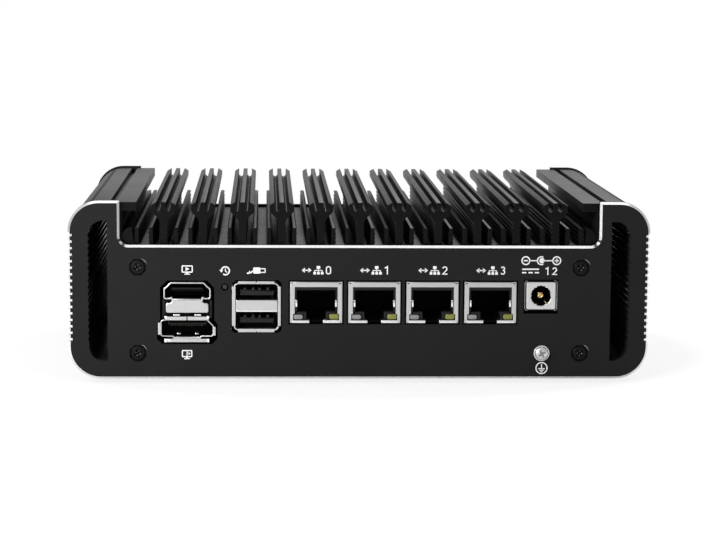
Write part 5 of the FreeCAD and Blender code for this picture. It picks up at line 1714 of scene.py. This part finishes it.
@dataclass
class CaseScrews:
    """Countersunk cross-recess screws of one CAD node, which hold a panel or the cover."""

    node: str
    finish: Finish
    plane: Plane = Plane.FRONT
    spin: float = 0.0
    head_radius: float = 2.12
    sink: tuple[float, float] = (1.9, 2.74)
    sink_depth: float = 0.5
    cad_flat: float = 2.4
    head_height: float = 1.4
    core: float = 0.98
    crest: float = 1.2
    thread: float = 0.55
    cross: float = 1.3
    turns: tuple[float, ...] = (24.0, 31.0, 40.0, 52.0)

    def profile(self, face: float, end: float) -> list[Point]:
        """The screw from its face to its threaded end.

        Args:
            face: Where the head's face is along the axis.
            end: Where the thread ends.

        Returns:
            Radius and place of each point.
        """
        step = 1.0 if end > face else -1.0
        radius = self.head_radius
        place = face + step * self.head_height
        points = [
            (0.0, face), (radius - 0.25, face), (radius - 0.1, face + step * 0.05),
            (radius, face + step * 0.16), (radius, face + step * self.head_height * 0.6), (self.crest, place),
        ]
        while abs(end - place) > self.thread:
            points += [(self.core, place + step * 0.1), (self.crest, place + step * self.thread * 0.6)]
            place += step * self.thread
        return points + [(self.core, end), (0.0, end)]

    def build(self) -> None:
        """Make the screws where the CAD has them."""
        low, high = box_of(self.node, self.spin)
        up, out = (2, 1) if self.plane is Plane.FRONT else (1, 2)
        face, end = low[out], high[out]
        reach = high[0] - self.cad_flat
        levels = (low[up] + self.cad_flat, high[up] - self.cad_flat)
        spots = [(x, z) for x in (-reach, reach) for z in levels]
        screw = Mould()
        screw.turned((0.0, 0.0), self.profile(face, end), steps=32, plane=self.plane)
        cut_cross(screw, face, self.cross, plane=self.plane)
        # painted shade: a dark ring behind the head fills the gap in the countersink
        seat = [circle(0.0, 0.0, radius, 48) for radius in self.sink]
        screw.plate(seat, face + self.sink_depth, face + self.sink_depth + 0.2, 0.0, 1, self.plane)
        mould = Mould(self.spin)
        for spot, turn in zip(spots, self.turns):
            mould.stamp(screw, spot, turn, self.plane)
        mould.cast(self.node.replace("_screws", "_cross_screws"), [self.finish, RECESS_SHADE, FLANK_WEAR_AND_GLINT], self.node)


@dataclass
class CountersinkGlints:
    """Painted highlights: bright crescents on the upper right of the countersinks of a panel."""

    panel: str
    spin: float = 0.0
    across: float = 67.8
    heights: tuple[float, float] = (7.9, 34.4)
    radius: float = 2.86
    start: float = 18.0
    end: float = 70.0
    steps: int = 12
    thickness: float = 0.11
    seat: tuple[float, float] = (3.15, 2.76)

    def crescent(self) -> list[Point]:
        """A sliver along the upper right of a screw seat.

        Returns:
            Its outline round the middle of the seat.
        """
        inner = bend(0.0, 0.0, self.radius, self.start, self.end, self.steps)
        outer: list[Point] = []
        for step, (x, z) in enumerate(inner):
            swell = self.thickness * math.sin(math.pi * step / self.steps) + 0.015
            outer.append((x * (1 + swell / self.radius), z * (1 + swell / self.radius)))
        return outer + inner[::-1]

    def build(self) -> None:
        """Round off each screw seat and lay a crescent of painted highlight on its upper right."""
        mould = Mould(self.spin)
        for across in (-self.across, self.across):
            for up in self.heights:
                mould.measure_from(across, -HALF_DEPTH, up)
                mould.plate([self.crescent()], -0.03, 0.02, 0.0)
                mould.plate([circle(0.0, 0.0, radius, 48) for radius in self.seat], -0.012, 0.4, 0.0, 1)
        mould.cast(f"{self.panel}_screw_seats", [GLINT_CRESCENT, PANEL])


@dataclass
class PowerInlet:
    """Coaxial inlet: lines of painted highlight, black frame, lobed face plate, leaf springs and split pin."""

    half_width: float = 4.5
    half_height: float = 4.25
    frame_half: tuple[float, float] = (5.05, 4.72)
    hole: float = 2.86
    lobe: float = 3.14
    bore: float = 2.95
    pin_radius: float = 0.98
    pin_face: float = -61.7
    across: float = field(init=False)
    up: float = field(init=False)

    def __post_init__(self) -> None:
        """Take the inlet's place from the CAD."""
        self.across, self.up = middle_of("dc_jack_face")

    def lobed(self, grow: float = 0.0) -> list[Point]:
        """The hole with its six lobes.

        Args:
            grow: How much wider it is than the plate's own.

        Returns:
            Its outline.
        """
        hole, lobe = self.hole, self.lobe
        sixth = (
            (-24, hole + 0.14), (-20, lobe + 0.06), (-14, lobe - 0.1), (0, lobe), (14, lobe - 0.1),
            (20, lobe + 0.06), (24, hole + 0.14), (30, hole),
        )
        ways = range(90, 450, 60)
        return [polar(radius + grow, math.radians(way + turn)) for way in ways for turn, radius in sixth]

    def build_face(self) -> None:
        """Face plate in its black frame, with thin lines of painted highlight round it."""
        mould = Mould(datum=(self.across, PORT_FACE, self.up))
        wide, tall = self.half_width, self.half_height
        mould.plate([frame_of(-wide, -tall, wide, tall, 0.5), self.lobed()], 0.0, 0.8, 0.22)
        side, crown = self.frame_half
        surround = frame_of(-side, -crown, side, crown, 0.35)
        hollow = frame_of(-wide - 0.02, -tall - 0.02, wide + 0.02, tall + 0.02, 0.5)
        mould.plate([surround, hollow], 0.25, 1.55, 0.1, 1)
        mould.plate([surround, self.lobed(0.12)], 0.8, 1.55, 0.05, 1)
        # painted highlight: bright tin lines along the black frame; the leaf springs below share that bright
        # finish
        near, far, high = wide - 0.36, side - 0.12, crown - 0.12
        line = rounded([(near, -high), (far, -high), (far, high), (near, high)], [0, 0.75, 0.75, 0], 5)
        for way in (-1, 1):
            mould.wire([(way * x, 0.22, z) for x, z in line], 0.055, 2)
        for turn, thick in ((-55, 0.4), (10, 0.2), (170, 0.2), (245, 0.2)):
            foot, tip = (polar(reach, math.radians(turn)) for reach in (self.hole + 0.2, 1.75))
            mould.wire([(foot[0], 0.9, foot[1]), (tip[0], 4.6, tip[1])], thick, 2)
        mould.cast("inlet_face", [NICKEL, NYLON, TIN_HIGHLIGHT], "dc_jack_face")

    def build_body(self) -> None:
        """Body with the barrel bore, and seams of its moulding."""
        (left, near, bottom), (right, far, top) = box_of("dc_jack_body")
        mould = Mould()
        outer = frame_of(left, bottom, right, top, 0.3)
        mould.plate([outer, circle(self.across, self.up, self.bore, 36)], near, far - 1.2, 0.08)
        mould.plate([outer], far - 1.2, far)
        for start in (near + 2.5, near + 5.5, near + 8.5):
            mould.block((left, start, bottom + 0.9), (left + 0.25, start + 0.6, top - 1.2), 0.08)
        mould.cast("inlet_body", [NYLON], "dc_jack_body")

    def build_pin(self) -> None:
        """Gold centre pin, hollow and split crosswise."""
        end = box_of("dc_jack_pin")[1][1]
        radius, face = self.pin_radius, self.pin_face
        profile = [
            (0.0, face + 1.2), (0.34, face + 1.1), (0.42, face + 0.15), (0.6, face), (0.8, face + 0.08),
            (radius, face + 0.5), (radius, end), (0.0, end),
        ]
        pin = Mould()
        pin.turned((0.0, 0.0), profile, steps=28)
        for wide, tall in ((1.2, 0.08), (0.08, 1.2)):
            cutter = Mould()
            cutter.block((-wide, face - 0.5, -tall), (wide, face + 1.6, tall), 0.0)
            pin.carve(cutter)
        pin.copied((self.across, self.up), 38.0).cast("inlet_pin", [GOLD], "dc_jack_pin")

    def build(self) -> None:
        """Make the whole inlet."""
        self.build_face()
        self.build_body()
        self.build_pin()


@dataclass
class EarthTerminal:
    """Pan-head earth screw with a split spring washer on a flat one."""

    head_radius: float = 2.1
    washer_radius: float = 2.45
    washer_bore: float = 1.3
    spring_width: float = 0.66
    spring_height: float = 0.28
    core: float = 0.95
    crest: float = 1.15
    cross: float = 1.15
    turn: float = 28.0

    def build(self) -> None:
        """Make washer and screw."""
        across, up = middle_of("ground_screw")
        face, end = (corner[1] for corner in box_of("ground_screw"))
        flat, seat = (corner[1] for corner in box_of("ground_washer"))
        mould, step = Mould(), flat + self.spring_height
        rims = [circle(across, up, self.washer_radius, 48), circle(across, up, self.washer_bore, 24)]
        mould.plate(rims, step, seat, 0.06)
        mould.plate([strip(bend(across, up, 2.0, 137.0, 479.0, 40), self.spring_width)], flat, step, 0.05)
        mould.cast("earth_washers", [ZINC], "ground_washer")
        radius, place = self.head_radius, flat
        profile = [
            (0.0, face), (0.95, face + 0.03), (1.5, face + 0.16), (1.9, face + 0.42), (radius, face + 0.75),
            (radius, flat - 0.04), (radius - 0.1, flat), (self.crest, flat),
        ]
        while end - place > 0.5:
            profile += [(self.core, place + 0.1), (self.crest, place + 0.3)]
            place += 0.45
        screw = Mould()
        screw.turned((0.0, 0.0), [*profile, (self.core, end), (0.0, end)], steps=40)
        cut_cross(screw, face, self.cross)
        screw.copied((across, up), self.turn).cast("earth_screw", [ZINC, ZINC_HOLLOW_SHADE, ZINC], "ground_screw")


@dataclass
class RecoveryButton:
    """Small plunger behind the pinhole, and its switch."""

    radius: float = 0.87

    def build(self) -> None:
        """Make the plunger, which moves with its own body, and give the switch can its finish."""
        face, end = (corner[1] for corner in box_of("recovery_plunger"))
        radius = self.radius
        profile = [
            (0.0, face), (radius - 0.3, face + 0.03), (radius - 0.08, face + 0.14), (radius, face + 0.35),
            (radius, end), (0.0, end),
        ]
        mould = Mould()
        mould.turned(middle_of("recovery_plunger"), profile, steps=28)
        mould.cast("recovery_pin", [BUTTON], "recovery_plunger", body="recovery_button")
        dress(NYLON, "recovery_switch")


@dataclass
class PowerButton:
    """Push button of the rear panel: spun cap, flanged bezel and switch can."""

    cap_radius: float = 4.78
    cap_length: float = 2.8
    rings: int = 9
    ring_pitch: float = 0.42
    dish: float = 0.012
    stem_radius: float = 1.45
    flange: float = 6.8
    bore: float = 5.1
    sleeve: float = 6.0

    def build(self) -> None:
        """Make cap and bezel; the can keeps its CAD shape."""
        spot = middle_of("power_button_cap", REAR)
        face, end = (corner[1] for corner in box_of("power_button_cap", REAR))
        radius, stem, back = self.cap_radius, self.stem_radius, face + self.cap_length
        profile = [(0.0, face + 0.32)]
        for ring in range(self.rings):
            middle, sink = 0.5 + ring * self.ring_pitch, self.dish * ring
            profile += [(middle, face + 0.3 - sink), (middle + self.ring_pitch / 2, face + 0.27 - sink)]
        profile += [
            (radius - 0.45, face + 0.1), (radius - 0.3, face), (radius - 0.12, face + 0.03),
            (radius, face + 0.2), (radius, back), (stem, back), (stem, end), (0.0, end),
        ]
        cap = Mould(REAR)
        cap.turned(spot, profile, steps=64)
        cap.cast("power_cap_spun", [SPUN], "power_button_cap", body="power_cap")
        front, back = (corner[1] for corner in box_of("power_button_bezel", REAR))
        bore, flange, sleeve = self.bore, self.flange, self.sleeve
        profile = [
            (bore, front + 0.5), (bore + 0.12, front + 0.12), (bore + 0.35, front), (flange - 0.5, front),
            (flange - 0.12, front + 0.12), (flange, front + 0.4), (flange, front + 0.6), (sleeve, front + 0.6),
            (sleeve, back), (bore, back), (bore, front + 0.5),
        ]
        bezel = Mould(REAR)
        bezel.turned(spot, profile, steps=64)
        bezel.cast("power_bezel", [OXIDE], "power_button_bezel")
        dress(NYLON, "power_switch")


@dataclass
class StatusLamps:
    """Two light pipes beside the power button."""

    radius: float = 1.5

    def build(self) -> None:
        """Make both pipes, the lower one for the disk and the upper one for power."""
        low, high = box_of("status_lamps", REAR)
        across, radius = middle_of("status_lamps", REAR)[0], self.radius
        face, end = low[1], high[1]
        profile = [
            (0.0, face), (0.7, face + 0.02), (1.15, face + 0.1), (radius - 0.05, face + 0.28),
            (radius, face + 0.6), (radius, end), (0.0, end),
        ]
        mould = Mould(REAR)
        for mark, up in enumerate((low[2] + radius, high[2] - radius)):
            mould.turned((across, up), profile, mark, steps=32)
        mould.cast("status_pipes", [CLEAR, GREEN], "status_lamps")


# ---------------------------------------------------------------------------
# printed symbols


@dataclass
class Legend:
    """White symbols printed on an end panel, each drawn from the spot that is set with at()."""

    spin: float = 0.0
    stroke: float = 0.36
    lift: float = 0.018

    def __post_init__(self) -> None:
        """Start with an empty sheet."""
        self.mould = Mould(self.spin)

    def at(self, across: float, up: float) -> "Legend":
        """Set the spot that the next symbol is drawn from.

        Args:
            across: Its place across the panel.
            up: Its height.

        Returns:
            The sheet itself.
        """
        self.mould.measure_from(across, -HALF_DEPTH, up)
        return self

    def ink(self, *outlines: Outline) -> None:
        """Print a filled shape; outlines inside it are left open."""
        self.mould.plate(outlines, -self.lift, 0.0, 0.0)

    def line(self, *route: Point, width: float = 0.0) -> None:
        """Print a line through some points, of the usual width unless one is given."""
        self.ink(strip(route, width or self.stroke))

    def ring(self, radius: float, width: float, across: float = 0.0) -> None:
        """Print a ring round a point of the symbol's own level."""
        self.ink(*(circle(across, 0.0, radius + half, 40) for half in (width / 2, -width / 2)))

    def numeral(self, number: int, left: float, low: float, height: float) -> float:
        """Print a plain figure from nought to three.

        Args:
            number: The figure.
            left: Its left edge.
            low: Its foot.
            height: Its height.

        Returns:
            Its width.
        """
        half = self.stroke / 2
        wide = height * 0.64
        middle, right, top = left + wide / 2, left + wide, low + height
        if number == 0:
            inner = frame_of(left + 2 * half, low + 2 * half, right - 2 * half, top - 2 * half)
            self.ink(rounded(frame_of(left, low, right, top), wide * 0.46, 5), rounded(inner, wide * 0.24, 5))
        elif number == 1:
            post = left + wide * 0.62
            self.line((left + wide * 0.14, top - height * 0.24), (post, top - half * 0.6), (post, low))
        elif number == 2:
            bowl = bend(middle, top - wide / 2, wide / 2 - half, 165, -38)
            self.line(*bowl, (left + half, low + half), (right, low + half))
        else:
            upper, lower = height * 0.235, height * 0.265
            bowls = bend(middle, top - upper - half / 2, upper - half / 2, 155, -70)
            bowls += bend(middle, low + lower + half / 2, lower - half / 2, 72, -155)
            self.line(*bowls)
        return wide

    def network_jack(self, number: int) -> None:
        """Double arrow, little network tree and the number of the jack, from their lower left.

        Args:
            number: The jack's number.
        """
        middle, thin = 1.3, 0.28
        self.line((0.55, middle), (2.45, middle), width=0.34)
        for tip, head in ((0.0, 0.95), (3.0, 2.05)):
            self.ink([(tip, middle), (head, middle + 0.78), (head, middle - 0.78)])
        root = 5.1
        self.ink(frame_of(root - 0.55, 1.75, root + 0.55, 2.6, 0.1))
        self.line((root, 1.8), (root, 1.25), width=thin)
        self.line((root - 1.15, 1.25), (root + 1.15, 1.25), width=thin)
        for leaf in (root - 1.15, root, root + 1.15):
            self.line((leaf, 1.3), (leaf, 0.7), width=thin)
            self.ink(frame_of(leaf - 0.42, 0.0, leaf + 0.42, 0.78, 0.1))
        self.numeral(number, 7.35, 0.02, 2.55)

    def monitor(self, wide: float, tall: float, split: bool) -> None:
        """A screen on its foot, from its lower left.

        Args:
            wide: Its width.
            tall: Its whole height.
            split: Whether the screen shows two windows instead of one mark.
        """
        bottom, middle, foot, border = 0.62, wide / 2, 0.15, 0.34
        inner = frame_of(border, bottom + border, wide - border, tall - border, 0.1)
        self.ink(frame_of(0.0, bottom, wide, tall, 0.3), inner)
        self.line((middle, bottom), (middle, foot), width=0.7)
        self.line((middle - 0.85, foot), (middle + 0.85, foot), width=0.3)
        centre = (bottom + tall) / 2
        if split:
            self.line((middle, bottom + 0.2), (middle, tall - 0.2), width=0.3)
            self.ink([(middle + 0.45, centre - 0.45), (middle + 1.05, centre), (middle + 0.45, centre + 0.45)])
        else:
            self.ink([(middle - 0.5, centre - 0.6), (middle + 0.62, centre), (middle - 0.5, centre + 0.6)])

    def clock_arrow(self) -> None:
        """A clock whose rim ends in an arrow that points back, from its middle."""
        radius = 1.22
        self.line(*bend(0.0, 0.0, radius, -125, 172, 24), width=0.4)
        self.ink([(-radius - 0.62, 0.28), (0.62 - radius, 0.28), (-radius, -0.52)])
        self.line((0.0, 0.72), (0.0, -0.05), (0.5, -0.5), width=0.3)

    def plug(self) -> None:
        """A flat plug with its lead, lying on its side, from its lower left."""
        self.ink(frame_of(1.9, 0.45, 4.1, 2.35, 0.3))
        fork = [(4.1, 0.7), (5.7, 0.7), (5.7, 2.1), (4.1, 2.1), (4.1, 1.8), (5.4, 1.8), (5.4, 1.0), (4.1, 1.0)]
        self.ink(rounded(fork, [0.05] * 4 + [0.0] * 4))
        lead = rounded([(0.0, 0.55), (0.8, 0.55), (0.8, 1.4), (2.0, 1.4)], [0, 0.35, 0.35, 0], 5)
        self.line(*lead, width=0.4)

    def polarity(self, reach: float) -> None:
        """Minus outside, plus inside: the sign for the polarity of a round plug, from its middle.

        Args:
            reach: How far the outer rings are from the middle mark.
        """
        radius, bar, width = 1.2, 0.62, 0.38
        for across in (-reach, reach):
            self.ring(radius, width, across)
            self.line((across - bar, 0.0), (across + bar, 0.0), width=width)
        self.line((reach, -bar), (reach, bar), width=width)
        self.line(*bend(0.0, 0.0, radius, 60, 300, 24), width=width)
        self.ink(circle(0.22, 0.0, 0.82, 28))
        self.line((radius - reach, 0.0), (-radius, 0.0), width=0.32)
        self.line((0.5, 0.0), (reach - radius, 0.0), width=0.32)

    def direct_current(self) -> None:
        """Solid line over a broken one, and the plain number twelve, from their lower left."""
        self.line((0.0, 1.75), (5.2, 1.75), width=0.42)
        for start in (0.0, 1.95, 3.9):
            self.line((start, 0.7), (start + 1.3, 0.7), width=0.42)
        wide = self.numeral(1, 7.0, 0.0, 2.35)
        self.numeral(2, 7.0 + wide + 0.75, 0.0, 2.35)

    def earth(self) -> None:
        """The protective-earth sign in its ring, from its middle."""
        self.ring(1.72, 0.34)
        self.line((0.0, 1.25), (0.0, -0.1), width=0.32)
        for level, half in ((-0.2, 1.05), (-0.68, 0.68), (-1.16, 0.32)):
            self.line((-half, level), (half, level), width=0.3)

    def power(self) -> None:
        """The broken ring with a bar, from its middle."""
        self.line(*bend(0.0, 0.0, 1.25, 125, 415, 24), width=0.4)
        self.line((0.0, 1.6), (0.0, 0.1), width=0.4)

    def disk(self) -> None:
        """A drum, for the disk lamp, from its middle."""
        round_one = circle(0.0, 0.0, 1.0, 28)
        for level in (-0.75, 0.75):
            sizes = ((1.1, 0.42), (0.82, 0.2))
            self.ink(*([(wide * x, level + tall * z) for x, z in round_one] for wide, tall in sizes))
        for side in (-0.97, 0.97):
            self.line((side, -0.75), (side, 0.75), width=0.26)

    def cast(self, name: str) -> None:
        """Make the print one thin piece."""
        self.mould.cast(name, [PRINT])


def print_port_legend() -> None:
    """The symbols of the port panel."""
    sheet = Legend()
    for number in range(4):
        sheet.at(middle_of(f"lan_shield_{number}")[0] - 4.45, 32.32).network_jack(number)
    sheet.at(-54.45, 32.2).monitor(3.4, 2.85, False)
    sheet.at(-54.45, 6.1).monitor(3.2, 2.85, True)
    sheet.at(-41.15, 33.4).clock_arrow()
    sheet.at(-34.6, 32.1).plug()
    sheet.at(55.45, 36.7).polarity(4.75)
    sheet.at(49.6, 32.3).direct_current()
    sheet.at(56.1, 3.35).earth()
    sheet.cast("port_panel_print")


def print_rear_legend() -> None:
    """The symbols of the rear panel."""
    sheet = Legend(REAR)
    beside = middle_of("status_lamps", REAR)[0] + 3.35
    sheet.at(middle_of("power_button_cap", REAR)[0], 30.2).power()
    sheet.at(beside, 22.1).power()
    sheet.at(beside, 16.1).disk()
    sheet.at(middle_of("rear_stack_shell", REAR)[0] - 2.85, 32.1).plug()
    sheet.cast("rear_panel_print")


# ---------------------------------------------------------------------------
# what is inside the case


@dataclass
class Mainboard:
    """The board with everything that is soldered or screwed to it."""

    def dress(self) -> None:
        """Give the CAD parts on the board their finishes."""
        dress(MASK, "mainboard", "memory_module", "solid_state_drive")
        dress(BRASS, "board_standoffs", "drive_post")
        dress(OXIDE, "board_screws", "drive_screw")
        dress(MILLED, "heat_spreader", "capacitors")
        dress(SILICONE, "thermal_pad")
        dress(RESIN, "processor", "network_chips", "power_coils", "lan_transformers")
        dress(NYLON, "memory_socket", "drive_socket", "coin_cell_holder")
        dress(TIN, "memory_latch_left", "memory_latch_right")
        dress(CELL, "coin_cell")


def main() -> None:
    """Build every sub-assembly in order."""
    logging.basicConfig(level=logging.INFO, format="%(message)s", stream=sys.stdout)
    Studio().build()
    HeatSink().build()
    case = Case()
    case.dress()
    case.build_feet()
    CaseScrews("io_panel_screws", OXIDE).build()
    CaseScrews("power_panel_screws", OXIDE, spin=REAR).build()
    CaseScrews("cover_screws", OXIDE, Plane.FLAT).build()
    CountersinkGlints("port_panel").build()
    CountersinkGlints("rear_panel", REAR).build()
    NetworkRow().build()
    for port in (StackedPort("front_stack"), StackedPort("rear_stack", REAR)):
        port.build_shell()
        port.build_tongues()
    for part in (VideoPorts(), PowerInlet(), EarthTerminal(), RecoveryButton(), PowerButton(), StatusLamps()):
        part.build()
    print_port_legend()
    print_rear_legend()
    Mainboard().dress()


if __name__ == "__main__":
    main()
